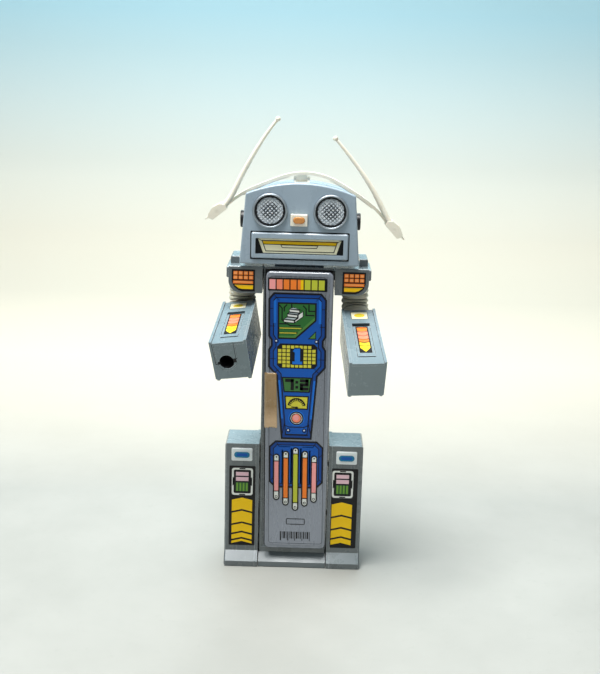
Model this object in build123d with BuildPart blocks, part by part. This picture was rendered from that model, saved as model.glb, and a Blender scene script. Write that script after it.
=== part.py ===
"""Walking toy robot: column body with a centre foot, two walking legs, two box forearms on ribbed hoses,
a square head with round eyes, and a headband that carries two antennas.

Frame: millimetres, +Z up, the face looks along -Y, +X is the robot's own left.
Origin: on the floor, at the middle of the column.
"""
from build123d import *
from math import acos, atan2, cos, pi, radians, sin, sqrt, tan
import os

os.makedirs("parts", exist_ok=True)

# ---------------------------------------------------------------- dimensions several sections share
COLUMN_HALF = 21.5       # half width
COLUMN_FRONT, COLUMN_REAR = -16.0, 16.0
COLUMN_BOTTOM, COLUMN_TOP = 8.2, 194.8
COLUMN_MID = (COLUMN_BOTTOM + COLUMN_TOP) / 2

LABEL_GAP, LABEL_THICK = 0.02, 0.12  # stickers float this far off their surface
TOE_Y = -21.8            # front of the centre foot

AXLE_Z, IDLER_Z = 60.0, 26.0
CRANK_THROW = 3.5
PIN_RADIUS, PIN_BORE = 1.5, 1.56

EAR_Y, EAR_Z = -4.0, 222.0
BAND_Y = -2.0            # middle of the headband's width
CLIP_X, CLIP_Z = 0.15, 246.9         # pivot of the crown clip

HOSE_X, HOSE_Y = 35.3, 3.2           # where the left hose drops out of its shoulder


def save(part, name):
    part.label = name
    export_step(part, f"parts/{name}.step")


def save_pair(part, left_name, right_name):
    """Save a left-hand piece and its mirror image."""
    save(part, left_name)
    save(mirror(part, about=Plane.YZ), right_name)


def across_x(x, at=(0.0, 0.0)):
    """Plane at x facing +X, centred on at (y, z); sketch x is +Y and sketch y is +Z."""
    return Plane(origin=(x, at[0], at[1]), x_dir=(0, 1, 0), z_dir=(1, 0, 0))


def across_y(y):
    """Plane at y facing forwards (-Y); sketch x is +X and sketch y is +Z."""
    return Plane.XZ.offset(-y)


# These helpers draw into the sketch that is open where they are called.
def outline(*points):
    Polygon(*points, align=(Align.NONE, Align.NONE))


def span(x0, x1, y0, y1):
    """A rectangle given by its limits."""
    outline((x0, y0), (x1, y0), (x1, y1), (x0, y1))


# ================================================================ column
WALL = 2.0
FRONT_WALL = 3.0
SPLIT = 0.05             # half of the gap on the parting plane y = 0
CAVITY_WIDTH = 2 * (COLUMN_HALF - WALL)

COVER_FRONT = -21.0
COVER_BOTTOM, COVER_TOP = 13.2, 192.6
COVER_LEFT = 21.0
COVER_DEPTH, COVER_WALL = 6.4, 1.8
PEGS = [(x, z) for x in (-12, 14) for z in (24, 90, 182)]

SCREWS = [(x, z) for x in (-16, 16) for z in (166, 100.5, 14.5)]
SCREW_BOSS = 2.6
CRANK_HOLE = 6.3
TENON_HOLE_Z, TENON_HOLE_HEIGHT = 189, 6.2
NECK_HOLE = (12, 10)

DOOR_Z = 131.5           # middle of the battery door
DOOR_OPENING = (32, 47)
DOOR_SEAT = (35, 51)
DOOR_SEAT_DEPTH = 1.0
SWITCH_Z = 172


def column_section(inset=0.0):
    with Locations((0, COLUMN_MID)):
        Rectangle(2 * (COLUMN_HALF - inset), COLUMN_TOP - COLUMN_BOTTOM - 2 * inset)


def side_openings(tenon_y, tenon_width):
    """Openings for the shoulder tenons and the crank discs."""
    with Locations((tenon_y, TENON_HOLE_Z)):
        Rectangle(tenon_width, TENON_HOLE_HEIGHT)
    with Locations((0, AXLE_Z), (0, IDLER_Z)):
        Circle(CRANK_HOLE)


with BuildPart() as torso_front:
    with BuildSketch(across_y(COLUMN_FRONT)):
        column_section()
    extrude(amount=COLUMN_FRONT + SPLIT)
    fillet(torso_front.edges().filter_by(Axis.Z).group_by(Axis.Y)[0], 0.8)
    # hollow, open to the rear
    with BuildSketch(across_y(-SPLIT)):
        column_section(WALL)
    extrude(amount=-COLUMN_FRONT - FRONT_WALL - SPLIT, mode=Mode.SUBTRACT)
    # stepped recess the cover sits in, running out at the robot's left side
    with BuildSketch(across_y(COLUMN_FRONT)):
        with BuildLine():
            Polyline((24, 11.6), (-20.0, 11.6), (-20.7, 193.7), (24, 193.7), close=True)
        make_face()
    extrude(amount=-0.6, mode=Mode.SUBTRACT)
    with BuildSketch(across_y(COLUMN_FRONT + 0.6)):
        with BuildLine():
            Polyline((24, 12.4), (-18.3, 12.4), (-20.4, 193.2), (24, 193.2), close=True)
        make_face()
    extrude(amount=-0.9, mode=Mode.SUBTRACT)
    # peg holes for the cover
    with Locations(across_y(COLUMN_FRONT)):
        with Locations(*PEGS):
            Hole(1.25, depth=FRONT_WALL + 1)
    with BuildSketch(across_x(-COLUMN_HALF - 1)):
        side_openings(-4.0, 8.2)
    extrude(amount=2 * COLUMN_HALF + 2, mode=Mode.SUBTRACT)
    # neck opening
    with BuildSketch(Plane.XY.offset(COLUMN_TOP - WALL - 1)):
        Rectangle(*NECK_HOLE)
    extrude(amount=WALL + 2, mode=Mode.SUBTRACT)
    # bosses that take the screws from the rear shell
    with BuildSketch(across_y(-SPLIT)):
        with Locations(*SCREWS):
            Circle(SCREW_BOSS)
    extrude(amount=-COLUMN_FRONT - 1.6 - SPLIT)
    with BuildSketch(across_y(-SPLIT)):
        with Locations(*SCREWS):
            Circle(0.85)
    extrude(amount=9, mode=Mode.SUBTRACT)
save(torso_front.part, "torso_front")

with BuildPart() as torso_rear:
    with BuildSketch(across_y(COLUMN_REAR)):
        column_section()
    extrude(amount=COLUMN_REAR - SPLIT)
    fillet(torso_rear.edges().filter_by(Axis.Z).group_by(Axis.Y)[-1], 2.0)
    with BuildSketch(across_y(SPLIT)):
        column_section(WALL)
    extrude(amount=-(COLUMN_REAR - WALL - SPLIT), mode=Mode.SUBTRACT)
    # shelves above and below the cells, and posts for the screws
    with BuildSketch(across_y(SPLIT)):
        with Locations((0, 103.4), (0, 160.2)):
            Rectangle(CAVITY_WIDTH + 0.4, 1.6)
        with Locations(*SCREWS):
            Circle(SCREW_BOSS)
    extrude(amount=-(COLUMN_REAR - WALL - SPLIT + 0.2))
    with BuildSketch(across_x(-COLUMN_HALF - 1)):
        side_openings(3.0, 6.2)
    extrude(amount=2 * COLUMN_HALF + 2, mode=Mode.SUBTRACT)
    with BuildSketch(Plane.XY.offset(COLUMN_TOP - WALL - 1)):
        Rectangle(*NECK_HOLE)
    extrude(amount=WALL + 2, mode=Mode.SUBTRACT)
    # battery opening with a stepped seat for the door
    for size, depth in ((DOOR_OPENING, WALL + 1), (DOOR_SEAT, DOOR_SEAT_DEPTH)):
        with BuildSketch(across_y(COLUMN_REAR)):
            with Locations((0, DOOR_Z)):
                Rectangle(*size)
        extrude(amount=depth, mode=Mode.SUBTRACT)
    # slot for the switch knob and three round-ended slots
    with BuildSketch(across_y(COLUMN_REAR)):
        with Locations((0, SWITCH_Z)):
            Rectangle(9, 3.4)
        with Locations((0, 92.5), (0, 88.5), (0, 84.5)):
            SlotOverall(22, 1.6)
    extrude(amount=WALL + 0.5, mode=Mode.SUBTRACT)
    # screw holes and their counterbores
    for radius, depth in ((1.2, COLUMN_REAR), (2.0, 2.2)):
        with BuildSketch(across_y(COLUMN_REAR)):
            with Locations(*SCREWS):
                Circle(radius)
        extrude(amount=depth, mode=Mode.SUBTRACT)
save(torso_rear.part, "torso_rear")

# Rear end (y), radius and length of each length of the screws: head, shank, tip, joint of the two.
SCREW_LENGTHS = [
    (COLUMN_REAR - 0.3, 1.9, 1.5),
    (COLUMN_REAR - 1.8, 1.1, 12.5),
    (-SPLIT - 0.1, 0.8, 6),
    (2.0, 0.8, 4),
]
with BuildPart() as torso_screws:
    for rear, radius, length in SCREW_LENGTHS:
        with BuildSketch(across_y(rear)):
            with Locations(*SCREWS):
                Circle(radius)
        extrude(amount=length)
    # cross slots in the heads
    with BuildSketch(across_y(COLUMN_REAR - 0.3)):
        with Locations(*SCREWS):
            Rectangle(2.4, 0.6)
            Rectangle(0.6, 2.4)
    extrude(amount=0.8, mode=Mode.SUBTRACT)
save(torso_screws.part, "torso_screws")


def cover_points(inset=0.0):
    """Front outline of the cover; its edge on the robot's right leans outwards towards the top."""
    bottom, top = COVER_BOTTOM + inset, COVER_TOP - inset
    left = COVER_LEFT - inset
    return [(left, bottom), (-17.5 + inset, bottom), (-19.6 + inset, top), (left, top)]


with BuildPart() as front_cover:
    with BuildSketch(across_y(COVER_FRONT)):
        with BuildLine():
            Polyline(*cover_points(), close=True)
        make_face()
        fillet(vertices(), 3.0)
    extrude(amount=-COVER_DEPTH)
    chamfer(front_cover.faces().filter_by(Plane.XZ).sort_by(Axis.Y)[0].edges(), 0.5)
    # shelled from behind
    with BuildSketch(across_y(COVER_FRONT + COVER_DEPTH)):
        with BuildLine():
            Polyline(*cover_points(COVER_WALL), close=True)
        make_face()
        fillet(vertices(), 1.4)
    extrude(amount=COVER_DEPTH - COVER_WALL, mode=Mode.SUBTRACT)
    # pegs
    with BuildSketch(across_y(COVER_FRONT + 1.6)):
        with Locations(*PEGS):
            Circle(1.2)
    extrude(amount=-6.6)
save(front_cover.part, "front_cover")

with BuildPart() as front_label:
    with BuildSketch(across_y(COVER_FRONT - LABEL_GAP)):
        with BuildLine():
            Polyline((19.2, 15.5), (-15.6, 15.5), (-17.6, 190.4), (19.2, 190.4), close=True)
        make_face()
        fillet(vertices(), 2.0)
    extrude(amount=LABEL_THICK)
save(front_label.part, "front_label")

FOOT_TOP = 8.1
FOOT_REAR = 19.0
FOOT_FLOOR = 2.5
# Side outline of the foot (y, z), from the toe on the floor over the top to the rear.
FOOT_POINTS = [
    (TOE_Y, 0), (TOE_Y, 3.7), (COLUMN_FRONT, 8.0), (COLUMN_FRONT + 0.4, FOOT_TOP),
    (COLUMN_REAR - 0.4, FOOT_TOP), (COLUMN_REAR, 8.0), (FOOT_REAR, 4.5), (FOOT_REAR, 0),
]
with BuildPart() as base_foot:
    with BuildSketch(across_x(-COLUMN_HALF)):
        with BuildLine():
            Polyline(*FOOT_POINTS, close=True)
        make_face()
    extrude(amount=2 * COLUMN_HALF)
    with BuildSketch(Plane.XY.offset(FOOT_FLOOR)):
        Rectangle(2 * COLUMN_HALF - 4, 27)
    extrude(amount=FOOT_TOP, mode=Mode.SUBTRACT)
    chamfer(base_foot.edges().filter_by(Axis.X).filter_by_position(Axis.Z, -0.01, 0.01), 0.4)
save(base_foot.part, "base_foot")

# ================================================================ battery and switch
DOOR_PROUD, DOOR_THICK = 0.4, 1.3
FRAME_WIDTH, FRAME_HEIGHT = (side - 0.4 for side in DOOR_OPENING)

with BuildPart() as battery_door:
    with BuildSketch(across_y(COLUMN_REAR + DOOR_PROUD)):
        with Locations((0, DOOR_Z)):
            RectangleRounded(DOOR_SEAT[0] - 0.2, DOOR_SEAT[1] - 0.2, 0.8)
    extrude(amount=DOOR_THICK)
    # grip grooves
    with BuildSketch(across_y(COLUMN_REAR + DOOR_PROUD)):
        with Locations(*[(0, 114 + 2.2 * i) for i in range(6)]):
            SlotOverall(16, 1.0)
    extrude(amount=0.4, mode=Mode.SUBTRACT)
    # inner locating frame
    with BuildSketch(across_y(COLUMN_REAR + DOOR_PROUD - DOOR_THICK)):
        with Locations((0, DOOR_Z)):
            Rectangle(FRAME_WIDTH, FRAME_HEIGHT)
            Rectangle(FRAME_WIDTH - 3, FRAME_HEIGHT - 3, mode=Mode.SUBTRACT)
    extrude(amount=0.9)
save(battery_door.part, "battery_door")

CELL_X, CELL_Y = 8.0, 6.2
CELLS = [(CELL_X, CELL_Y), (-CELL_X, CELL_Y)]
CELL_RADIUS, CELL_LENGTH = 7.1, 49.0
CELL_BOTTOM = 106.0
NUB_RADIUS, NUB_LENGTH = 2.7, 1.3

with BuildPart() as battery_cells:
    with BuildSketch(Plane.XY.offset(CELL_BOTTOM)):
        with Locations(*CELLS):
            Circle(CELL_RADIUS)
    extrude(amount=CELL_LENGTH)
    # the left cell's nub points up, the right cell's down
    for z, cell in ((CELL_BOTTOM + CELL_LENGTH, CELLS[0]), (CELL_BOTTOM - NUB_LENGTH, CELLS[1])):
        with BuildSketch(Plane.XY.offset(z)):
            with Locations(cell):
                Circle(NUB_RADIUS)
        extrude(amount=NUB_LENGTH)
save(battery_cells.part, "battery_cells")

STRIP_THICK = 0.4
STRIP_TOP_Z = 158.9
RING_HEIGHT = 2.5

with BuildPart() as battery_contacts:
    # bridge strip at the bottom
    with BuildSketch(Plane.XY.offset(104.25)):
        with Locations((0, CELL_Y)):
            Rectangle(26, 7)
    extrude(amount=STRIP_THICK)
    # two separate strips at the top, each with a ring below it
    with BuildSketch(Plane.XY.offset(STRIP_TOP_Z)):
        with Locations(*CELLS):
            Rectangle(9, 8)
    extrude(amount=STRIP_THICK)
    with BuildSketch(Plane.XY.offset(STRIP_TOP_Z - RING_HEIGHT)):
        with Locations(*CELLS):
            Circle(2.2)
            Circle(1.6, mode=Mode.SUBTRACT)
    extrude(amount=RING_HEIGHT)
save(battery_contacts.part, "battery_contacts")

KNOB_X = -1.5
KNOB_PROUD = 1.6

with BuildPart() as switch_knob:
    with BuildSketch(across_y(COLUMN_REAR + KNOB_PROUD)):
        with Locations((KNOB_X, SWITCH_Z)):
            RectangleRounded(5.0, 3.0, 0.5)
    extrude(amount=4.0)
    # plate behind the slot
    with BuildSketch(across_y(COLUMN_REAR - 2.3)):
        with Locations((KNOB_X, SWITCH_Z)):
            Rectangle(9.5, 6.5)
    extrude(amount=1.8)
    # grip grooves
    with BuildSketch(across_y(COLUMN_REAR + KNOB_PROUD)):
        with Locations(*[(KNOB_X + shift, SWITCH_Z) for shift in (-1.2, 0, 1.2)]):
            Rectangle(0.4, 3.2)
    extrude(amount=0.4, mode=Mode.SUBTRACT)
save(switch_knob.part, "switch_knob")

# ================================================================ gearbox
MODULE, SMALL_TEETH, BIG_TEETH = 0.5, 10, 30
PRESSURE = radians(25)
BACKLASH = 0.10
GEAR_WIDTH = 2.5
# teeth, addendum, dedendum
SMALL_GEAR = (SMALL_TEETH, 0.5, 0.52)
BIG_GEAR = (BIG_TEETH, 0.4, 0.62)
GEAR_CENTRES = MODULE * (SMALL_TEETH + BIG_TEETH) / 2

# Shaft centres (y, z), from the main axle up to the motor.
AXLE_AT = (0.0, AXLE_Z)
SECOND_AT = (6.0, AXLE_Z + 8.0)
FIRST_AT = (0.0, AXLE_Z + 16.0)
MOTOR_Y = -4.5
MOTOR_AT = (MOTOR_Y, FIRST_AT[1] + sqrt(GEAR_CENTRES ** 2 - MOTOR_Y ** 2))


def tooth_points(teeth, addendum, dedendum, start):
    """Outline of an involute gear, first tooth centred on the angle start (radians)."""
    pitch_radius = MODULE * teeth / 2
    base = pitch_radius * cos(PRESSURE)
    tip, root = pitch_radius + addendum, pitch_radius - dedendum
    half = (pi * MODULE / 2 - BACKLASH / 2) / 2 / pitch_radius
    involute = tan(PRESSURE) - PRESSURE
    flank = []               # (radius, half angle of the tooth there)
    low = max(base, root)
    for i in range(6):
        radius = low + (tip - low) * i / 5
        angle = acos(min(1.0, base / radius))
        flank.append((radius, half + involute - (tan(angle) - angle)))
    if root < base:
        flank.insert(0, (root, flank[0][1]))
    points = []
    for k in range(teeth):
        centre = start + 2 * pi * k / teeth
        for radius, spread in flank:
            points.append((radius * cos(centre - spread), radius * sin(centre - spread)))
        for radius, spread in reversed(flank):
            points.append((radius * cos(centre + spread), radius * sin(centre + spread)))
    return points


def heading(here, there):
    return atan2(there[1] - here[1], there[0] - here[0])


# In each mesh a tooth of the big gear points at the small one, which shows it a gap.
TO_GAP = pi + pi / SMALL_TEETH
DRIVE_START = heading(AXLE_AT, SECOND_AT)
SECOND_START = heading(SECOND_AT, FIRST_AT)
FIRST_START = heading(FIRST_AT, MOTOR_AT)

PLATE_INNER, PLATE_OUTER = 11.8, 13.4
PLATE_THICK = PLATE_OUTER - PLATE_INNER
PLATE_POINTS = [(-11.5, 15), (11.5, 15), (11.5, 80), (8, 95), (-11.5, 95)]     # y, z
SHAFT_HOLES = [(AXLE_AT, PIN_BORE), ((0.0, IDLER_Z), PIN_BORE), (SECOND_AT, 1.06), (FIRST_AT, 1.06)]
SPACERS = [(-9.2, 18.5), (9.2, 18.5), (-9.2, 48), (9.2, 40)]                   # y, z


def cut_shaft_holes():
    for at, radius in SHAFT_HOLES:
        with Locations(at):
            Circle(radius, mode=Mode.SUBTRACT)


def round_plate_corners(plate):
    """Round the two bottom corners."""
    fillet(plate.edges().filter_by(Axis.X).filter_by_position(Axis.Z, 14.9, 15.1), 2)


with BuildPart() as gearbox_left_plate:
    with BuildSketch(across_x(PLATE_INNER)):
        with BuildLine():
            Polyline(*PLATE_POINTS, close=True)
        make_face()
        cut_shaft_holes()
        with Locations(MOTOR_AT):
            Circle(3.2, mode=Mode.SUBTRACT)
    extrude(amount=PLATE_THICK)
    # spacer posts reaching to the other plate
    with BuildSketch(across_x(PLATE_INNER)):
        with Locations(*SPACERS):
            Circle(1.8)
    extrude(amount=-(2 * PLATE_INNER - 0.1))
    round_plate_corners(gearbox_left_plate)
save(gearbox_left_plate.part, "gearbox_left_plate")

with BuildPart() as gearbox_right_plate:
    with BuildSketch(across_x(-PLATE_OUTER)):
        with BuildLine():
            Polyline(*PLATE_POINTS, close=True)
        make_face()
        cut_shaft_holes()
        with Locations(*SPACERS):
            Circle(0.8, mode=Mode.SUBTRACT)
    extrude(amount=PLATE_THICK)
    round_plate_corners(gearbox_right_plate)
save(gearbox_right_plate.part, "gearbox_right_plate")

MOTOR_RIGHT, MOTOR_LENGTH = -11.2, 17.0
MOTOR_LEFT = MOTOR_RIGHT + MOTOR_LENGTH
MOTOR_BORE = 0.85

with BuildPart() as motor:
    # round can with two flats
    with BuildSketch(across_x(MOTOR_RIGHT, MOTOR_AT)):
        Circle(7.0)
        Rectangle(12.0, 16, mode=Mode.INTERSECT)
    extrude(amount=MOTOR_LENGTH)
    fillet(motor.edges().filter_by(GeomType.CIRCLE).group_by(Axis.X)[-1], 0.8)
    with BuildSketch(across_x(MOTOR_LEFT, MOTOR_AT)):
        Circle(2.4)
        Circle(MOTOR_BORE, mode=Mode.SUBTRACT)
    extrude(amount=1.0)
    with BuildSketch(across_x(MOTOR_LEFT, MOTOR_AT)):
        Circle(MOTOR_BORE)
    extrude(amount=-6.0, mode=Mode.SUBTRACT)
save(motor.part, "motor")

FIRST_MESH_X = 8.5       # right face of the motor pinion and of the gear it drives

with BuildPart() as motor_pinion:
    with BuildSketch(across_x(FIRST_MESH_X, MOTOR_AT)):
        with BuildLine():
            Polyline(*tooth_points(*SMALL_GEAR, FIRST_START + TO_GAP), close=True)
        make_face()
    extrude(amount=GEAR_WIDTH)
    with BuildSketch(across_x(1.0, MOTOR_AT)):
        Circle(0.75)
    extrude(amount=11.5)
save(motor_pinion.part, "motor_pinion")


def compound_gear(at, big_x, big_start, small_x, small_start):
    """A big and a small gear side by side on a shaft that spans the plates."""
    with BuildPart() as gear:
        with BuildSketch(across_x(big_x, at)):
            with BuildLine():
                Polyline(*tooth_points(*BIG_GEAR, big_start), close=True)
            make_face()
        extrude(amount=GEAR_WIDTH)
        with BuildSketch(across_x(small_x, at)):
            with BuildLine():
                Polyline(*tooth_points(*SMALL_GEAR, small_start), close=True)
            make_face()
        extrude(amount=3.7)
        with BuildSketch(across_x(-13.0, at)):
            Circle(1.0)
        extrude(amount=26.0)
    return gear.part


save(compound_gear(FIRST_AT, FIRST_MESH_X, FIRST_START, 4.8, SECOND_START + TO_GAP), "first_gear")
save(compound_gear(SECOND_AT, 5.0, SECOND_START, 1.3, DRIVE_START + TO_GAP), "second_gear")

DRIVE_X = 1.5
AXLE_BORE = 1.52

with BuildPart() as drive_gear:
    with BuildSketch(across_x(DRIVE_X, AXLE_AT)):
        with BuildLine():
            Polyline(*tooth_points(*BIG_GEAR, DRIVE_START), close=True)
        make_face()
        Circle(AXLE_BORE, mode=Mode.SUBTRACT)
        with PolarLocations(4.6, 5):
            Circle(1.2, mode=Mode.SUBTRACT)
    extrude(amount=GEAR_WIDTH)
    # hub
    with BuildSketch(across_x(DRIVE_X, AXLE_AT)):
        Circle(3.0)
        Circle(AXLE_BORE, mode=Mode.SUBTRACT)
    extrude(amount=-3.0)
save(drive_gear.part, "drive_gear")


def axle(z):
    half_length = 20.6
    with BuildPart() as rod:
        with BuildSketch(across_x(-half_length, (0, z))):
            Circle(PIN_RADIUS)
        extrude(amount=2 * half_length)
    return rod.part


def crank_pair(z):
    """Two crank discs facing outwards, pins at the top of their turn."""
    hub_x, disc_x, pin_x = 17.4, 19.0, 21.3
    with BuildPart() as cranks:
        with BuildSketch(across_x(disc_x, (0, z))):
            Circle(6.0)
        extrude(amount=pin_x - disc_x)
        with BuildSketch(across_x(hub_x, (0, z))):
            Circle(2.8)
        extrude(amount=disc_x - hub_x)
        with BuildSketch(across_x(pin_x, (0, z + CRANK_THROW))):
            Circle(PIN_RADIUS)
        extrude(amount=4.2)
        with BuildSketch(across_x(hub_x, (0, z))):
            Circle(AXLE_BORE)
        extrude(amount=3.4, mode=Mode.SUBTRACT)
        mirror(about=Plane.YZ)
    return cranks.part


save(axle(AXLE_Z), "main_axle")
save(axle(IDLER_Z), "idler_axle")
save(crank_pair(AXLE_Z), "drive_cranks")
save(crank_pair(IDLER_Z), "idler_cranks")

# ================================================================ legs
LEG_INNER, LEG_OUTER = 22.1, 43.6
LEG_SPLIT = 24.1         # outer face of the inner plate
LEG_GAP = 0.05           # between plate and shell
LEG_FRONT, LEG_REAR = -17.15, 12.0
LEG_HEIGHT, LEG_LIFT = 81.2, 0.25
LEG_WALL = 1.8
CRANK_BEARINGS = [(0, AXLE_Z + CRANK_THROW), (0, IDLER_Z + CRANK_THROW)]       # y, z


def leg_points(inset=0.0):
    """Side outline (y, z) of a leg with its sloped toe, moved inwards."""
    toe = TOE_Y - 0.5 + inset
    bottom, top = LEG_LIFT + inset, LEG_LIFT + LEG_HEIGHT - inset
    return [
        (toe, bottom), (toe, LEG_LIFT + max(3.5 - 0.4 * inset, inset + 0.3)),
        (LEG_FRONT + inset, LEG_LIFT + 8.8), (LEG_FRONT + inset, top),
        (LEG_REAR - inset, top), (LEG_REAR - inset, bottom),
    ]


def leg_shell():
    """Outer shell of the left leg, open towards the column."""
    inner = LEG_SPLIT + LEG_GAP
    with BuildPart() as shell:
        with BuildSketch(across_x(inner)):
            with BuildLine():
                Polyline(*leg_points(), close=True)
            make_face()
        extrude(amount=LEG_OUTER - inner)
        chamfer(shell.faces().sort_by(Axis.X)[-1].edges(), 0.9)
        fillet(shell.edges().filter_by(Axis.X).group_by(Axis.Z)[-1].sort_by(Axis.Y)[-1], 2.0)
        with BuildSketch(across_x(LEG_SPLIT - 1)):
            with BuildLine():
                Polyline(*leg_points(LEG_WALL), close=True)
            make_face()
        extrude(amount=LEG_OUTER - LEG_SPLIT + 1 - LEG_WALL, mode=Mode.SUBTRACT)
    return shell.part


def leg_plate():
    """Inner wall of the left leg with the two crank-pin bearings."""
    with BuildPart() as plate:
        with BuildSketch(across_x(LEG_INNER)):
            with BuildLine():
                Polyline(*leg_points(), close=True)
            make_face()
        extrude(amount=LEG_SPLIT - LEG_INNER)
        with BuildSketch(across_x(LEG_SPLIT)):
            with Locations(*CRANK_BEARINGS):
                Circle(3.2)
        extrude(amount=1.6)
        # rim that locates in the shell
        with BuildSketch(across_x(LEG_SPLIT)):
            with BuildLine():
                Polyline(*leg_points(2.0), close=True)
            make_face()
            with BuildLine():
                Polyline(*leg_points(3.2), close=True)
            make_face(mode=Mode.SUBTRACT)
        extrude(amount=1.2)
        with BuildSketch(across_x(LEG_INNER - 1)):
            with Locations(*CRANK_BEARINGS):
                Circle(PIN_BORE)
        extrude(amount=6, mode=Mode.SUBTRACT)
    return plate.part


def leg_badge(centre):
    back, thick = LEG_FRONT - 0.03, 0.9
    with BuildPart() as badge:
        with BuildSketch(across_y(back)):
            with Locations(centre):
                RectangleRounded(13.2, 8.4, 0.8)
        extrude(amount=thick)
        chamfer(badge.faces().sort_by(Axis.Y)[0].edges(), 0.3)
        # raised pill in the middle
        with BuildSketch(across_y(back - thick)):
            with Locations(centre):
                SlotOverall(9.2, 3.6)
        extrude(amount=0.35)
    return badge.part


def leg_label(x):
    with BuildPart() as label:
        with BuildSketch(across_y(LEG_FRONT - LABEL_GAP)):
            with Locations((x, 39.6)):
                RectangleRounded(16.6, 54.0, 0.6)
        extrude(amount=LABEL_THICK)
    return label.part


save_pair(leg_shell(), "leg_left_shell", "leg_right_shell")
save_pair(leg_plate(), "leg_left_plate", "leg_right_plate")
# badge centre (x, z) and label centre x; the two legs differ slightly
for hand, badge_at, label_x in (("left", (33.2, 73.9), 32.6), ("right", (-32.9, 74.4), -32.5)):
    save(leg_badge(badge_at), f"leg_{hand}_badge")
    save(leg_label(label_x), f"leg_{hand}_label")

# ================================================================ shoulders
SHOULDER_INNER, SHOULDER_OUTER = 22.1, 42.7
SHOULDER_FRONT, SHOULDER_REAR = -18.0, 12.0
SHOULDER_BOTTOM, SHOULDER_TOP = 178.5, 195.0
SHOULDER_RAISED = 199.5  # top of the raised rear part
SHOULDER_ROUND = 7.5
CAVITY_BOTTOM = 186.0
HOSE_RIB = 8.4           # outer radius over the hose's ribs


def shoulder():
    """Left shoulder: rounded lower outer edge, raised rear part, column tenon, hose pocket."""
    arc_start = (SHOULDER_OUTER - SHOULDER_ROUND, SHOULDER_BOTTOM)
    arc_end = (SHOULDER_OUTER, SHOULDER_BOTTOM + SHOULDER_ROUND)
    with BuildPart() as block:
        with BuildSketch(across_y(SHOULDER_FRONT)):
            with BuildLine():
                Line((SHOULDER_INNER, SHOULDER_BOTTOM), arc_start)
                RadiusArc(arc_start, arc_end, -SHOULDER_ROUND)
                Polyline(arc_end, (SHOULDER_OUTER, SHOULDER_TOP), (SHOULDER_INNER, SHOULDER_TOP),
                         (SHOULDER_INNER, SHOULDER_BOTTOM))
            make_face()
        extrude(amount=SHOULDER_FRONT - SHOULDER_REAR)
        fillet(block.edges().filter_by(Axis.X).group_by(Axis.Y)[0].sort_by(Axis.Z)[-1], 0.8)
        # raised rear part beside the head
        with BuildSketch(Plane.XY.offset(SHOULDER_TOP)):
            span(36.9, 42.2, -8.0, SHOULDER_REAR)
        extrude(amount=SHOULDER_RAISED - SHOULDER_TOP)
        fillet(block.edges().filter_by(Axis.Y).group_by(Axis.Z)[-1].sort_by(Axis.X)[-1], 1.2)
        fillet(block.edges().filter_by(Axis.X).group_by(Axis.Z)[-1].sort_by(Axis.Y)[0], 0.8)
        # side cap standing proud of the outer face
        with BuildSketch(across_x(SHOULDER_OUTER - 0.4)):
            span(SHOULDER_FRONT + 0.7, SHOULDER_REAR - 0.7, 187.6, SHOULDER_TOP - 0.5)
            fillet(vertices(), 1.2)
        extrude(amount=1.7)
        chamfer(block.faces().sort_by(Axis.X)[-1].edges(), 0.4)
        # tenon held between the two halves of the column, with a wider head inside
        with BuildSketch(across_x(SHOULDER_INNER)):
            span(-8.0, 6.0, 186.0, 192.0)
        extrude(amount=-3.4)
        with BuildSketch(across_x(19.3)):
            span(-9.5, 7.5, 184.9, 192.6)
        extrude(amount=-1.2)
        # cavity above the swivel
        with BuildSketch(Plane.XY.offset(CAVITY_BOTTOM)):
            span(25.5, 40.9, -15.5, 10.2)
        extrude(amount=7.2, mode=Mode.SUBTRACT)
        # round cuts: bottom, radius, height of the room for the swivel's flange,
        # the pocket for the hose and the swivel's bearing
        for bottom, radius, height in (
            (CAVITY_BOTTOM, 6.6, 2.4),
            (SHOULDER_BOTTOM - 1, HOSE_RIB + 0.3, 184.4 - SHOULDER_BOTTOM + 1),
            (SHOULDER_BOTTOM - 1, 5.58, 9.0),
        ):
            with BuildSketch(Plane.XY.offset(bottom)):
                with Locations((HOSE_X, HOSE_Y)):
                    Circle(radius)
            extrude(amount=height, mode=Mode.SUBTRACT)
    return block.part


save_pair(shoulder(), "shoulder_left", "shoulder_right")

# Left label's outline (x, z); its lower outer corner follows the shoulder's round.
SHOULDER_LABEL = [
    (26.6, 193.0), (40.7, 193.0), (40.7, 185.6), (39.4, 182.4), (36.6, 180.2),
    (34.4, 179.5), (26.6, 179.5),
]
with BuildPart() as shoulder_labels:
    for side in (1, -1):
        with BuildSketch(across_y(SHOULDER_FRONT - LABEL_GAP)):
            with BuildLine():
                Polyline(*[(side * x, z) for x, z in SHOULDER_LABEL], close=True)
            make_face()
        extrude(amount=LABEL_THICK)
save(shoulder_labels.part, "shoulder_labels")

# ================================================================ head
HEAD_FRONT, HEAD_REAR = -20.0, 20.0
CHIN_HALF, BROW_HALF = 36.2, 32.9    # half widths
CHIN_Z, BROW_Z, APEX_Z = 196.9, 239.1, 245.9
RIM = 5.0                # depth of the face frame
STEP = 1.3               # the shell behind the face frame is this much smaller all round
HEAD_WALL = 2.0

EYE_X, EYE_Z = 18.2, 229.3
EYES = [(EYE_X, EYE_Z), (-EYE_X, EYE_Z)]
NOSE_AT = (-0.7, 224.1)
MOUTH_AT = (-0.1, 208.05)            # middle of the mouth opening and label


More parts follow.
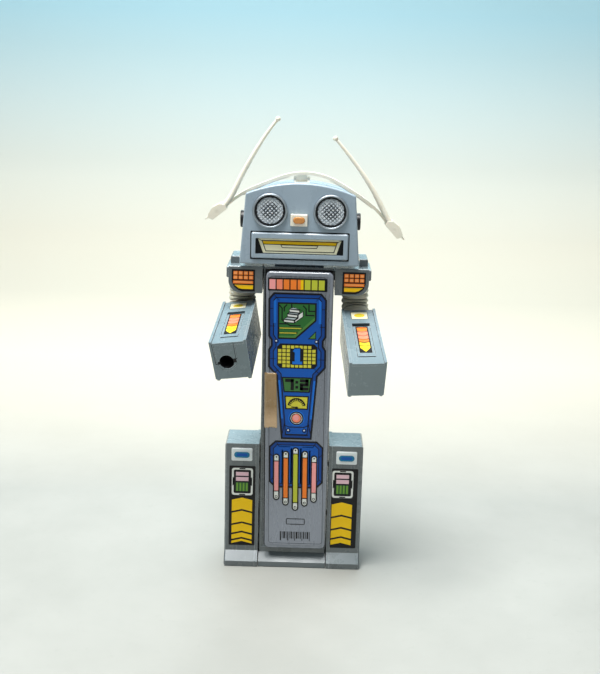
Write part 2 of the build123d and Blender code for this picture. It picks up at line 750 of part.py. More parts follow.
def head_outline(inset=0.0):
    """Draw the head's front outline, moved inwards, into the open BuildLine."""
    taper = (CHIN_HALF - BROW_HALF) / (BROW_Z - CHIN_Z)
    chin_x, chin_z = CHIN_HALF - inset - taper * inset, CHIN_Z + inset
    brow_z = BROW_Z - inset * 0.8
    brow_x = CHIN_HALF - inset - taper * (brow_z - CHIN_Z)
    Line((-chin_x, chin_z), (chin_x, chin_z))
    Line((chin_x, chin_z), (brow_x, brow_z))
    ThreePointArc((brow_x, brow_z), (0.0, APEX_Z - inset), (-brow_x, brow_z))
    Line((-brow_x, brow_z), (-chin_x, chin_z))


with BuildPart() as head_face:
    with BuildSketch(across_y(HEAD_FRONT)):
        with BuildLine():
            head_outline()
        make_face()
        fillet(vertices(), 1.2)
    extrude(amount=-RIM)
    fillet(head_face.faces().sort_by(Axis.Y)[0].edges(), 0.9)
    # hollow, open to the rear
    with BuildSketch(across_y(HEAD_FRONT + RIM)):
        with BuildLine():
            head_outline(2.4)
        make_face()
    extrude(amount=RIM - 2.6, mode=Mode.SUBTRACT)
    # raised rings round the eyes
    with BuildSketch(across_y(HEAD_FRONT + 1.0)):
        with Locations(*EYES):
            Circle(10.05)
    extrude(amount=2.2)
    fillet(head_face.edges().filter_by(GeomType.CIRCLE).group_by(Axis.Y)[0], 0.35)
    with BuildSketch(across_y(HEAD_FRONT - 3)):
        with Locations(*EYES):
            Circle(9.25)
    extrude(amount=-8, mode=Mode.SUBTRACT)
    # mouth pocket
    with BuildSketch(across_y(HEAD_FRONT)):
        with Locations((0.1, 208.35)):
            RectangleRounded(59.6, 17.3, 0.6)
    extrude(amount=-1.0, mode=Mode.SUBTRACT)
    # nose stem opening
    with BuildSketch(across_y(HEAD_FRONT)):
        with Locations(NOSE_AT):
            Rectangle(7.2, 4.2)
    extrude(amount=-4, mode=Mode.SUBTRACT)
save(head_face.part, "head_face")

SHELL_FRONT = HEAD_FRONT + RIM + 0.05
HOLLOW_FRONT = HEAD_FRONT + RIM - 1

with BuildPart() as head_shell:
    with BuildSketch(across_y(SHELL_FRONT)):
        with BuildLine():
            head_outline(STEP)
        make_face()
        fillet(vertices().group_by(Axis.Y)[-1], 7.5)
        fillet(vertices().group_by(Axis.Y)[0], 1.5)
    extrude(amount=SHELL_FRONT - HEAD_REAR)
    fillet(head_shell.faces().sort_by(Axis.Y)[-1].edges(), 2.0)
    with BuildSketch(across_y(HOLLOW_FRONT)):
        with BuildLine():
            head_outline(STEP + HEAD_WALL)
        make_face()
        fillet(vertices().group_by(Axis.Y)[-1], 5.5)
    extrude(amount=HOLLOW_FRONT - (HEAD_REAR - HEAD_WALL), mode=Mode.SUBTRACT)
    # neck pedestal with a wire opening
    with BuildSketch(Plane.XY.offset(COLUMN_TOP + 0.05)):
        Rectangle(30, 22)
    extrude(amount=5.0)
    with BuildSketch(Plane.XY.offset(COLUMN_TOP)):
        Rectangle(11, 9)
    extrude(amount=8.0, mode=Mode.SUBTRACT)
    # hole for the crown clip's peg
    with BuildSketch(Plane.XY.offset(240.0)):
        with Locations((CLIP_X, BAND_Y)):
            Circle(1.3)
    extrude(amount=8.0, mode=Mode.SUBTRACT)
    # ear stem holes
    with BuildSketch(across_x(-40)):
        with Locations((EAR_Y, EAR_Z)):
            Circle(2.56)
    extrude(amount=80, mode=Mode.SUBTRACT)
save(head_shell.part, "head_shell")

# ---------------------------------------------------------------- eyes
BEZEL_RADIUS = 9.2

with BuildPart() as eye_bezels:
    # front, inner radius and depth of the sleeve and of the narrower ring behind it
    for front, inner, depth in ((HEAD_FRONT - 0.5, 8.4, 3.6), (HEAD_FRONT + 3.1, 7.4, 0.8)):
        with BuildSketch(across_y(front)):
            with Locations(*EYES):
                Circle(BEZEL_RADIUS)
                Circle(inner, mode=Mode.SUBTRACT)
        extrude(amount=-depth)
save(eye_bezels.part, "eye_bezels")

LENS_BACK, LENS_THICK = HEAD_FRONT + 3.05, 1.9
# y and corner radius of the sixteen-sided sections of the faceted dome
DOME = [(LENS_BACK - LENS_THICK, 8.3), (HEAD_FRONT - 0.15, 6.6), (HEAD_FRONT - 0.95, 3.2)]

with BuildPart() as eye_lenses:
    with BuildSketch(across_y(LENS_BACK)):
        with Locations(*EYES):
            Circle(8.34)
    extrude(amount=LENS_THICK)
    for eye in EYES:
        for taper_ends in zip(DOME, DOME[1:]):
            for y, radius in taper_ends:
                with BuildSketch(across_y(y)):
                    with Locations(eye):
                        RegularPolygon(radius, 16)
            loft(ruled=True)
save(eye_lenses.part, "eye_lenses")

# Profile of a reflector: distance from the eye's axis, y.
REFLECTOR = [
    (7.0, -16.0), (7.9, -16.0), (7.9, -15.2), (3.6, -8.6), (3.6, -6.0), (2.7, -6.0), (2.7, -9.0),
]
with BuildPart() as eye_reflectors:
    for x, z in EYES:
        with BuildSketch(Plane(origin=(x, 0, z), x_dir=(1, 0, 0), z_dir=(0, 0, 1))):
            with BuildLine():
                Polyline(*REFLECTOR, close=True)
            make_face()
        revolve(axis=Axis((x, 0, z), (0, 1, 0)))
save(eye_reflectors.part, "eye_reflectors")

# Profile of a bulb in the same terms, from the tip back along the axis and forwards outside.
BULB_TIP, BULB_RADIUS = -13.4, 1.9
BULB = [
    (0, BULB_TIP), (0, -3.0), (2.0, -3.0), (2.0, -5.6), (2.5, -6.4), (2.5, -8.6),
    (BULB_RADIUS, -9.0), (BULB_RADIUS, BULB_TIP + BULB_RADIUS),
]
with BuildPart() as eye_bulbs:
    for x, z in EYES:
        with BuildSketch(Plane(origin=(x, 0, z), x_dir=(1, 0, 0), z_dir=(0, 0, 1))):
            with BuildLine():
                Polyline(*BULB)
                RadiusArc(BULB[-1], BULB[0], BULB_RADIUS)
            make_face()
        revolve(axis=Axis((x, 0, z), (0, 1, 0)))
save(eye_bulbs.part, "eye_bulbs")

# ---------------------------------------------------------------- nose, mouth and ears
NOSE_BACK, NOSE_THICK = HEAD_FRONT - 0.03, 2.0

with BuildPart() as nose_block:
    with BuildSketch(across_y(NOSE_BACK)):
        with Locations(NOSE_AT):
            RectangleRounded(10.2, 7.2, 0.5)
    extrude(amount=NOSE_THICK)
    chamfer(nose_block.faces().sort_by(Axis.Y)[0].edges(), 0.35)
    # stem into the face
    with BuildSketch(across_y(NOSE_BACK)):
        with Locations(NOSE_AT):
            Rectangle(7.0, 4.0)
    extrude(amount=-3.4)
    # seat for the lens
    with BuildSketch(across_y(NOSE_BACK - NOSE_THICK)):
        with Locations(NOSE_AT):
            SlotOverall(7.2, 4.1)
    extrude(amount=-1.2, mode=Mode.SUBTRACT)
save(nose_block.part, "nose_block")

with BuildPart() as nose_lens:
    with BuildSketch(across_y(HEAD_FRONT - 0.86)):
        with Locations(NOSE_AT):
            SlotOverall(7.0, 3.9)
    extrude(amount=1.9)
    fillet(nose_lens.faces().sort_by(Axis.Y)[0].edges(), 0.7)
save(nose_lens.part, "nose_lens")

MOUTH_BACK = HEAD_FRONT + 0.97

with BuildPart() as mouth_frame:
    with BuildSketch(across_y(MOUTH_BACK)):
        with Locations((0.1, 208.45)):
            RectangleRounded(58.2, 15.6, 1.0)
    extrude(amount=2.2)
    chamfer(mouth_frame.faces().sort_by(Axis.Y)[0].edges(), 0.7)
    with BuildSketch(across_y(HEAD_FRONT - 4)):
        with Locations(MOUTH_AT):
            RectangleRounded(52.9, 9.6, 0.3)
    extrude(amount=-6, mode=Mode.SUBTRACT)
save(mouth_frame.part, "mouth_frame")

with BuildPart() as mouth_label:
    with BuildSketch(across_y(MOUTH_BACK)):
        with Locations(MOUTH_AT):
            Rectangle(52.6, 9.3)
    extrude(amount=0.15)
save(mouth_label.part, "mouth_label")

EAR_INNER, EAR_THICK = 33.75, 2.9
EAR_DIAMETER = 10.5

with BuildPart() as ear_discs:
    with BuildSketch(across_x(EAR_INNER)):
        with Locations((EAR_Y, EAR_Z)):
            Circle(EAR_DIAMETER / 2)
    extrude(amount=EAR_THICK)
    fillet(ear_discs.faces().sort_by(Axis.X)[-1].edges(), 0.6)
    # stem into the head
    with BuildSketch(across_x(EAR_INNER)):
        with Locations((EAR_Y, EAR_Z)):
            Circle(2.5)
    extrude(amount=-4.2)
    # shallow dish in the outer face
    with BuildSketch(across_x(EAR_INNER + EAR_THICK)):
        with Locations((EAR_Y, EAR_Z)):
            Circle(3.4)
    extrude(amount=-0.7, mode=Mode.SUBTRACT)
    mirror(about=Plane.YZ)
save(ear_discs.part, "ear_discs")

# ================================================================ headband and antennas
BAND_CENTRE = (0.7, 189.4)           # centre of the headband's curve (x, z)
BAND_TURN = 4.3                      # how far the band sits round the head, degrees
BAND_OUT, BAND_IN, BAND_HALF_WIDTH = 1.0, 0.8, 3.0
BAND_RIB, RIB_HALF_WIDTH = 0.5, 0.6
# Angle from the band's own middle (degrees) and radius there; both halves share the table.
BAND_STATIONS = [(0, 61.1), (12, 60.4), (25, 59.1), (42, 60.2), (57, 61.5)]
BAND_ANGLES = [-a for a, _ in reversed(BAND_STATIONS[1:])] + [a for a, _ in BAND_STATIONS]


def band_point(angle, offset=0.0):
    """A point (x, z) of the band, angle in degrees from its own middle, offset outwards."""
    size = abs(angle)
    for (a0, r0), (a1, r1) in zip(BAND_STATIONS, BAND_STATIONS[1:]):
        if size <= a1:
            radius = r0 + (r1 - r0) * (size - a0) / (a1 - a0) + offset
            break
    turned = radians(angle + BAND_TURN)
    return BAND_CENTRE[0] + radius * sin(turned), BAND_CENTRE[1] + radius * cos(turned)


def band_frame(across, along):
    """(x, z) of a point given across and along the band's middle line, from its curve's centre."""
    turn = radians(BAND_TURN)
    return (BAND_CENTRE[0] + across * cos(turn) + along * sin(turn),
            BAND_CENTRE[1] - across * sin(turn) + along * cos(turn))


def band_strip(angles, outer, inner):
    """Draw a closed strip between two offsets of the band into the open BuildLine."""
    Spline(*[band_point(a, outer) for a in angles])
    Spline(*[band_point(a, inner) for a in angles])
    for a in (angles[0], angles[-1]):
        Line(band_point(a, outer), band_point(a, inner))


def band_outline(side, points):
    """A polygon given in the band's frame, on its left (1) or right (-1) half."""
    outline(*[band_frame(side * across, along) for across, along in points])


# Measured outlines in the band's frame: across (outwards), along.
PIVOT = (54.1, 33.2)
SOCKET = [
    (48.4, 35.2), (49.4, 38.0), (53.0, 38.0), (57.4, 35.0), (59.5, 31.0), (59.0, 28.9), (56.2, 28.0),
]
SOCKET_TAIL = [(58.3, 29.2), (58.9, 30.2), (61.2, 28.0), (60.7, 27.3)]
SOCKET_CHANNEL = [(45, 20), (57.8, 20), (57.8, 45), (45, 45)]
LEFT_PIVOT = band_frame(*PIVOT)
RIGHT_PIVOT = band_frame(-PIVOT[0], PIVOT[1])

with BuildPart() as headband:
    with BuildSketch(across_y(BAND_Y - BAND_HALF_WIDTH)):
        with BuildLine():
            band_strip(BAND_ANGLES, BAND_OUT, -BAND_IN)
        make_face()
    extrude(amount=-2 * BAND_HALF_WIDTH)
    # narrow rib under each half, clear of the crown and of the ends
    for rib_angles in (BAND_ANGLES[1:4], BAND_ANGLES[5:8]):
        with BuildSketch(across_y(BAND_Y - RIB_HALF_WIDTH)):
            with BuildLine():
                band_strip(rib_angles, 0, -BAND_IN - BAND_RIB)
            make_face()
    extrude(amount=-2 * RIB_HALF_WIDTH)
    # pivot barrel under the crown with its saddle
    with BuildSketch(across_x(CLIP_X - 3.3)):
        with Locations((BAND_Y, CLIP_Z)):
            Circle(1.4)
        outline((BAND_Y - 1.3, CLIP_Z), (BAND_Y + 1.3, CLIP_Z),
                (BAND_Y + 1.9, 249.4), (BAND_Y - 1.9, 249.4))
    extrude(amount=6.6)
    with BuildSketch(across_x(CLIP_X - 4.7)):
        with Locations((BAND_Y, CLIP_Z)):
            Circle(0.8)
    extrude(amount=9.4)
    # end sockets
    for side, pivot in ((1, LEFT_PIVOT), (-1, RIGHT_PIVOT)):
        with BuildSketch(across_y(-10.8)):
            band_outline(side, SOCKET)
        extrude(amount=-11.8)
        # thin tail at the tip
        with BuildSketch(across_y(-9.0)):
            band_outline(side, SOCKET_TAIL)
        extrude(amount=-6.0)
        # channel the rod swings in, open at the top, the bottom and the inner side
        with BuildSketch(across_y(-9.6)):
            band_outline(side, SOCKET_CHANNEL)
        extrude(amount=-4.7, mode=Mode.SUBTRACT)
        with BuildSketch(across_y(-13)):
            with Locations(pivot):
                Circle(1.06)
        extrude(amount=-11, mode=Mode.SUBTRACT)
save(headband.part, "headband")

with BuildPart() as crown_clip:
    # two ears on a foot, with a peg down into the head
    for ear_x in (CLIP_X - 4.8, CLIP_X + 3.45):
        with BuildSketch(across_x(ear_x)):
            outline((BAND_Y - 2.6, 244.7), (BAND_Y + 2.6, 244.7),
                    (BAND_Y + 1.4, CLIP_Z), (BAND_Y - 1.4, CLIP_Z))
            with Locations((BAND_Y, CLIP_Z)):
                Circle(1.5)
        extrude(amount=1.35)
    with BuildSketch(Plane.XY.offset(244.68)):
        with Locations((CLIP_X, BAND_Y)):
            Rectangle(9.6, 5.6)
    extrude(amount=0.65)
    with BuildSketch(Plane.XY.offset(241.0)):
        with Locations((CLIP_X, BAND_Y)):
            Circle(1.2)
    extrude(amount=4.0)
    with BuildSketch(across_x(CLIP_X - 6)):
        with Locations((BAND_Y, CLIP_Z)):
            Circle(0.86)
    extrude(amount=12, mode=Mode.SUBTRACT)
save(crown_clip.part, "crown_clip")

ROD_Y = -7.2
# Points (x, z) along each rod, from its pivot to its tip.
LEFT_ROD = [LEFT_PIVOT, (52.3, 226.0), (44.0, 240.8), (33.4, 255.8), (19.8, 271.9)]
RIGHT_ROD = [RIGHT_PIVOT, (-44.6, 232.6), (-37.5, 245.6), (-27.4, 264.5), (-14.9, 282.6)]
# Share of the rod's length and radius there.
ROD_SECTIONS = [(0.0, 1.75), (0.25, 1.7), (0.5, 1.5), (0.8, 1.15), (1.0, 0.95)]


def antenna(points):
    """A tapered, bowed rod with a ball tip and a pivot hub."""
    with BuildPart() as rod:
        with BuildLine() as curve:
            Spline(*[(x, ROD_Y, z) for x, z in points])
        line = curve.line
        for t, radius in ROD_SECTIONS:
            with BuildSketch(Plane(origin=line @ t, x_dir=(0, 1, 0), z_dir=line % t)):
                Circle(radius)
        sweep(multisection=True)
        with Locations(line @ 1.0):
            Sphere(1.6)
        # hub, then the stub pins that snap into the socket cheeks: front, radius, length
        for front, radius, length in ((ROD_Y - 2.1, 2.1, 4.2), (-10.6, 1.0, 7.6)):
            with BuildSketch(across_y(front)):
                with Locations(points[0]):
                    Circle(radius)
            extrude(amount=-length)
    return rod.part


save(antenna(LEFT_ROD), "antenna_left")
save(antenna(RIGHT_ROD), "antenna_right")

# ================================================================ arms
HOSE_OUTER, HOSE_BORE = 7.3, 6.3     # radii of the tube
HOSE_TOP, HOSE_KNEE = 184.0, 174.0

ARM_LENGTH, ARM_HEIGHT = 54.0, 24.7
REAR_WIDTH, FRONT_WIDTH, ARM_DRAFT = 20.8, 22.2, 0.3
ARM_WALL = 1.6
LID_DROP, LID_THICK = 0.9, 1.6
LID_UNDER = -LID_DROP - LID_THICK


def arm_frame(origin, yaw, pitch, roll):
    """Frame of a forearm: origin in the middle of its top rear edge, x across, -y forwards,
    z up out of the lid. Angles in degrees."""
    yaw, pitch, roll = radians(yaw), radians(pitch), radians(roll)
    forward = Vector(-sin(yaw) * cos(pitch), -cos(yaw) * cos(pitch), -sin(pitch))
    across = Vector(cos(yaw), -sin(yaw), 0)
    up = forward.cross(across)
    return Plane(origin=origin, x_dir=across * cos(roll) + up * sin(roll),
                 z_dir=up * cos(roll) - across * sin(roll))


RIGHT_ARM = arm_frame((-36.5, -7.9, 171.7), yaw=3.8, pitch=14.4, roll=7.9)
LEFT_ARM = arm_frame((37.1, -11.4, 169.2), yaw=-5.6, pitch=23.0, roll=1.5)


def local(arm, at, x_dir, z_dir):
    """A plane given in a forearm's own frame."""
    def turn(v):
        return arm.x_dir * v[0] + arm.y_dir * v[1] + arm.z_dir * v[2]
    return Plane(origin=Vector(arm.origin) + turn(at), x_dir=turn(x_dir), z_dir=turn(z_dir))


def arm_level(arm, z):
    """Along the forearm at its own z, facing up."""
    return local(arm, (0, 0, z), (1, 0, 0), (0, 0, 1))


def arm_front(arm, y):
    """Across the forearm at y, facing forwards; sketch x, y are the arm's x, z."""
    return local(arm, (0, y, 0), (1, 0, 0), (0, -1, 0))


def arm_outline(narrow, rear, front):
    """Draw the forearm's plan, each side moved in by narrow, between two y limits."""
    half_rear, half_front = REAR_WIDTH / 2 - narrow, FRONT_WIDTH / 2 - narrow
    outline((-half_rear, rear), (half_rear, rear), (half_front, front), (-half_front, front))


def hose_start(side):
    return Plane(origin=(side * HOSE_X, HOSE_Y, HOSE_TOP), x_dir=(1, 0, 0), z_dir=(0, 0, -1))


def hose_route(side, arm, lead=0.0):
    """Centre line of a hose: down from the shoulder, forwards into the forearm, lead further on."""
    top = Vector(side * HOSE_X, HOSE_Y, HOSE_TOP)
    knee = Vector(side * HOSE_X, HOSE_Y, HOSE_KNEE)
    forward = arm.y_dir * -1
    end = Vector(arm.origin) + forward * 3.6 - arm.z_dir * 13.2
    aim = (forward + Vector(0, 0, -0.45)).normalized()
    with BuildLine() as route:
        Line(top, knee)
        Spline(knee, end, tangents=((0, 0, -1), aim))
        if lead:
            Line(end, end + aim * lead)
    return route.wires()[0]


def hose(side, arm):
    """Ribbed hose: a tube that drops out of the shoulder and bends forwards into the forearm."""
    line = hose_route(side, arm)
    with BuildPart() as tube:
        with BuildSketch(hose_start(side)):
            Circle(HOSE_OUTER)
            Circle(HOSE_BORE, mode=Mode.SUBTRACT)
        sweep(path=line)
        for k in range(7):
            t = (2.0 + 2.75 * k) / line.length
            with Locations(Plane(origin=line.position_at(t), z_dir=line.tangent_at(t))):
                Torus(HOSE_RIB - 1.0, 1.0)
    return tube.part


def hose_room(side, arm):
    """The space cut out of a forearm for its hose."""
    with BuildPart() as room:
        with BuildSketch(hose_start(side)):
            Circle(HOSE_OUTER + 0.3)
        sweep(path=hose_route(side, arm, lead=4))
    return room.part


def swivel_ring(side):
    """Three stacked collars, lowest first, with a common bore."""
    with BuildPart() as ring:
        for z, height, radius in ((177.6, 6.6, 6.15), (184.1, 2.2, 5.5), (186.2, 1.4, 6.3)):
            with BuildSketch(Plane.XY.offset(z)):
                with Locations((side * HOSE_X, HOSE_Y)):
                    Circle(radius)
            extrude(amount=height)
        with BuildSketch(Plane.XY.offset(177)):
            with Locations((side * HOSE_X, HOSE_Y)):
                Circle(3.6)
        extrude(amount=12, mode=Mode.SUBTRACT)
    return ring.part


BORE_AT = (-2.4, -13.6)              # launch bore in the right arm's own x, z
BORE_RADIUS = 4.4


def housing(side, arm, launcher):
    """Forearm tub: floor, side walls proud of the lid, front wall, rear wall with hose opening."""
    room = hose_room(side, arm)
    wall = ARM_WALL
    with BuildPart() as tub:
        with BuildSketch(arm_level(arm, 0)):
            arm_outline(0, 0, -ARM_LENGTH)
        with BuildSketch(arm_level(arm, -ARM_HEIGHT)):
            arm_outline(ARM_DRAFT, 0, -ARM_LENGTH)
        loft(ruled=True)
        with BuildSketch(arm_level(arm, 0.5)):
            arm_outline(wall, -wall, -ARM_LENGTH + wall)
        with BuildSketch(arm_level(arm, -ARM_HEIGHT + wall)):
            arm_outline(ARM_DRAFT + wall, -wall, -ARM_LENGTH + wall)
        loft(ruled=True, mode=Mode.SUBTRACT)
        # front and rear walls stop under the lid
        with BuildSketch(arm_level(arm, LID_UNDER)):
            arm_outline(wall, 1, -ARM_LENGTH - 1)
        extrude(amount=4, mode=Mode.SUBTRACT)
        # small feet under the front corners
        with BuildSketch(arm_level(arm, -ARM_HEIGHT + 0.2)):
            with Locations((-9.3, -52.6), (9.3, -52.6)):
                Circle(1.1)
        extrude(amount=-1.3)
        add(room, mode=Mode.SUBTRACT)
        if launcher:
            # opening for the launch barrel and its flap
            with BuildSketch(arm_front(arm, -ARM_LENGTH - 1)):
                outline((-8.7, -2), (4.2, -2), (4.2, -11.9), (-2.4, -14.2), (-8.7, -13.8))
                with Locations(BORE_AT):
                    Circle(BORE_RADIUS + 1.3)
            extrude(amount=-3.4, mode=Mode.SUBTRACT)
    return tub.part


def lid(arm):
    with BuildPart() as cover:
        with BuildSketch(arm_level(arm, LID_UNDER + 0.05)):
            arm_outline(ARM_WALL + 0.08, -0.1, -ARM_LENGTH)
        extrude(amount=LID_THICK - 0.05)
        # window for the slider
        with BuildSketch(arm_level(arm, 0)):
            span(-5.45, 5.45, -47.6, -14.0)
        extrude(amount=-5, mode=Mode.SUBTRACT)
        # ribs under the plate that locate it between the walls
        with BuildSketch(arm_level(arm, LID_UNDER + 0.1)):
            with Locations((-7.6, -32), (7.6, -32)):
                Rectangle(1.0, 34)
        extrude(amount=-1.4)
    return cover.part


def slider(arm):
    """Grip pad with a wider plate under the lid."""
    pad_top, pad_thick = -0.95, 1.75
    pad_half, pad_front = 5.2, -47.3
    with BuildPart() as pad:
        with BuildSketch(arm_level(arm, pad_top - pad_thick)):
            span(-pad_half, pad_half, pad_front, -17.2)
        extrude(amount=pad_thick)
        with BuildSketch(arm_level(arm, -2.6)):
            span(-6.5, 6.5, -48.6, -16.4)
        extrude(amount=-1.0)
        # finger lip at the front end
        with BuildSketch(arm_level(arm, pad_top)):
            span(-pad_half, pad_half, pad_front, -44.4)
        extrude(amount=0.5)
        # raised bed on the pad behind the lip
        with BuildSketch(arm_level(arm, pad_top)):
            span(-4.0, 4.0, -43.6, -17.4)
        extrude(amount=0.2)
    return pad.part


for hand, side, arm, slider_name in (
    ("left", 1, LEFT_ARM, "left_slider"),
    ("right", -1, RIGHT_ARM, "launch_slider"),
):
    save(swivel_ring(side), f"{hand}_swivel_ring")
    save(hose(side, arm), f"{hand}_hose")
    save(housing(side, arm, launcher=side < 0), f"{hand}_forearm")
    save(lid(arm), f"{hand}_forearm_lid")
    save(slider(arm), slider_name)

# ---------------------------------------------------------------- launcher in the right forearm
BARREL_RADIUS = BORE_RADIUS + 1.1
BARREL_LENGTH = 35.6

with BuildPart() as launch_barrel:
    # flap that closes the front of the tub
    with BuildSketch(arm_front(RIGHT_ARM, -ARM_LENGTH)):
        outline((-8.5, -2.55), (4.0, -2.55), (4.0, -11.5), (-2.4, -13.6), (-8.5, -13.6))
        with Locations(BORE_AT):
            Circle(BARREL_RADIUS)
    extrude(amount=-ARM_WALL)
    with BuildSketch(arm_front(RIGHT_ARM, -ARM_LENGTH + 0.4)):
        with Locations(BORE_AT):
            Circle(BARREL_RADIUS)
    extrude(amount=-BARREL_LENGTH)
    # bore, then the narrow hole on through the rear end
    for radius, depth in ((BORE_RADIUS, BARREL_LENGTH), (1.6, 40)):
        with BuildSketch(arm_front(RIGHT_ARM, -ARM_LENGTH - 1)):
            with Locations(BORE_AT):
                Circle(radius)
        extrude(amount=-depth, mode=Mode.SUBTRACT)
    # key notches beside the bore
    with BuildSketch(arm_front(RIGHT_ARM, -ARM_LENGTH - 1)):
        span(0, 3.3, -13.0, -10.9)
        span(-7.7, -5, -14.4, -13.2)
    extrude(amount=-4, mode=Mode.SUBTRACT)
save(launch_barrel.part, "launch_barrel")

with BuildPart() as plunger:
    # front, radius and length of the head and of the rod
    for front, radius, length in ((-33.0, 4.25, 2.4), (-31.0, 1.5, 15.5)):
        with BuildSketch(arm_front(RIGHT_ARM, front)):
            with Locations(BORE_AT):
                Circle(radius)
        extrude(amount=-length)
save(plunger.part, "plunger")

with BuildPart() as launch_spring:
    spring_start = local(RIGHT_ARM, (BORE_AT[0], -30.2, BORE_AT[1]), (1, 0, 0), (0, 1, 0))
    with BuildLine() as coil:
        Helix(pitch=1.75, height=10.2, radius=3.2,
              center=spring_start.origin, direction=spring_start.z_dir)
    with BuildSketch(Plane(origin=coil.line @ 0, z_dir=coil.line % 0)):
        Circle(0.28)
    sweep(path=coil.line)
save(launch_spring.part, "launch_spring")
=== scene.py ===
# A wind-up style toy robot. It stands on z = 0 and faces -Y, with its left side towards +X.
# This script adds finishes, printed stickers, ribbed hoses, the launcher spring, eye prisms
# and rims, a strip of tape, and the studio. Lengths are in millimetres unless a comment
# says metres; MM turns them into metres.
import math

import bmesh
import bpy
from mathutils import Matrix, Vector


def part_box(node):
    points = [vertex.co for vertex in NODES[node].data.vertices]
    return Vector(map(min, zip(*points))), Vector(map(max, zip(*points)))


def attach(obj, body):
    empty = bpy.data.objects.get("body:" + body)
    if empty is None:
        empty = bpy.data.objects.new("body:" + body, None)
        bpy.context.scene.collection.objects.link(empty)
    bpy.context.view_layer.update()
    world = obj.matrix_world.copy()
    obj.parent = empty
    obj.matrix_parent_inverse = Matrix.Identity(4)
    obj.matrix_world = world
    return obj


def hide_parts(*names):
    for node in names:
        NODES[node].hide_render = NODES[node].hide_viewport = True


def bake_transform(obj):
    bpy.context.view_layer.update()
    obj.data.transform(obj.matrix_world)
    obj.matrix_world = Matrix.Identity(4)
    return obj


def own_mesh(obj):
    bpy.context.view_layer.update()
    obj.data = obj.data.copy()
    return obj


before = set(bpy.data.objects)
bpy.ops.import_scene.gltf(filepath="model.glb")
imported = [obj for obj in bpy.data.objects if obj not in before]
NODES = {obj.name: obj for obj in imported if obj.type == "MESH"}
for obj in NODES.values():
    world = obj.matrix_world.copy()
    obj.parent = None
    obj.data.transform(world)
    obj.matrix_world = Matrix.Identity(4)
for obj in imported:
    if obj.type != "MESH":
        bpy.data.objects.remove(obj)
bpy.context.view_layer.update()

MM = 0.001


# ------------------------------------------------------------------ objects and meshes
def add_object(name, data):
    obj = bpy.data.objects.new(name, data)
    bpy.context.scene.collection.objects.link(obj)
    return obj


def metres(points):
    return [[value * MM for value in point] for point in points]


def add_mesh(name, vertices, faces, materials, smooth=True, slots=None, outward=True, sliver=0.0):
    """Mesh object from vertices in metres. Edges shorter than sliver are dissolved."""
    mesh = bpy.data.meshes.new(name)
    mesh.from_pydata(vertices, [], faces)
    for material in materials:
        mesh.materials.append(material)
    if slots:
        mesh.polygons.foreach_set("material_index", slots)
    if smooth:
        for face in mesh.polygons:
            face.use_smooth = True
    if outward:
        work = bmesh.new()
        work.from_mesh(mesh)
        if sliver:
            bmesh.ops.dissolve_degenerate(work, dist=sliver, edges=work.edges)
        bmesh.ops.recalc_face_normals(work, faces=work.faces)
        work.to_mesh(mesh)
        work.free()
    return add_object(name, mesh)


def ring_faces(rings, around, closed=True):
    """Quads joining successive rings of points; closed joins the last ring to the first."""
    faces = []
    for i in range(rings if closed else rings - 1):
        here, there = i * around, (i + 1) % rings * around
        for j in range(around):
            after = (j + 1) % around
            faces.append([here + j, here + after, there + after, there + j])
    return faces


def front_of(piece):
    """Y of a piece's front."""
    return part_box(piece)[0].y / MM


# ------------------------------------------------------------------ shader graph
def srgb(red, green, blue):
    """Linear colour from 0-255 display values."""
    def linear(value):
        value /= 255.0
        return value / 12.92 if value <= 0.04045 else ((value + 0.055) / 1.055) ** 2.4
    return (linear(red), linear(green), linear(blue), 1.0)


def shade(color, times):
    return (*(min(1, value * times) for value in color[:3]), 1.0)


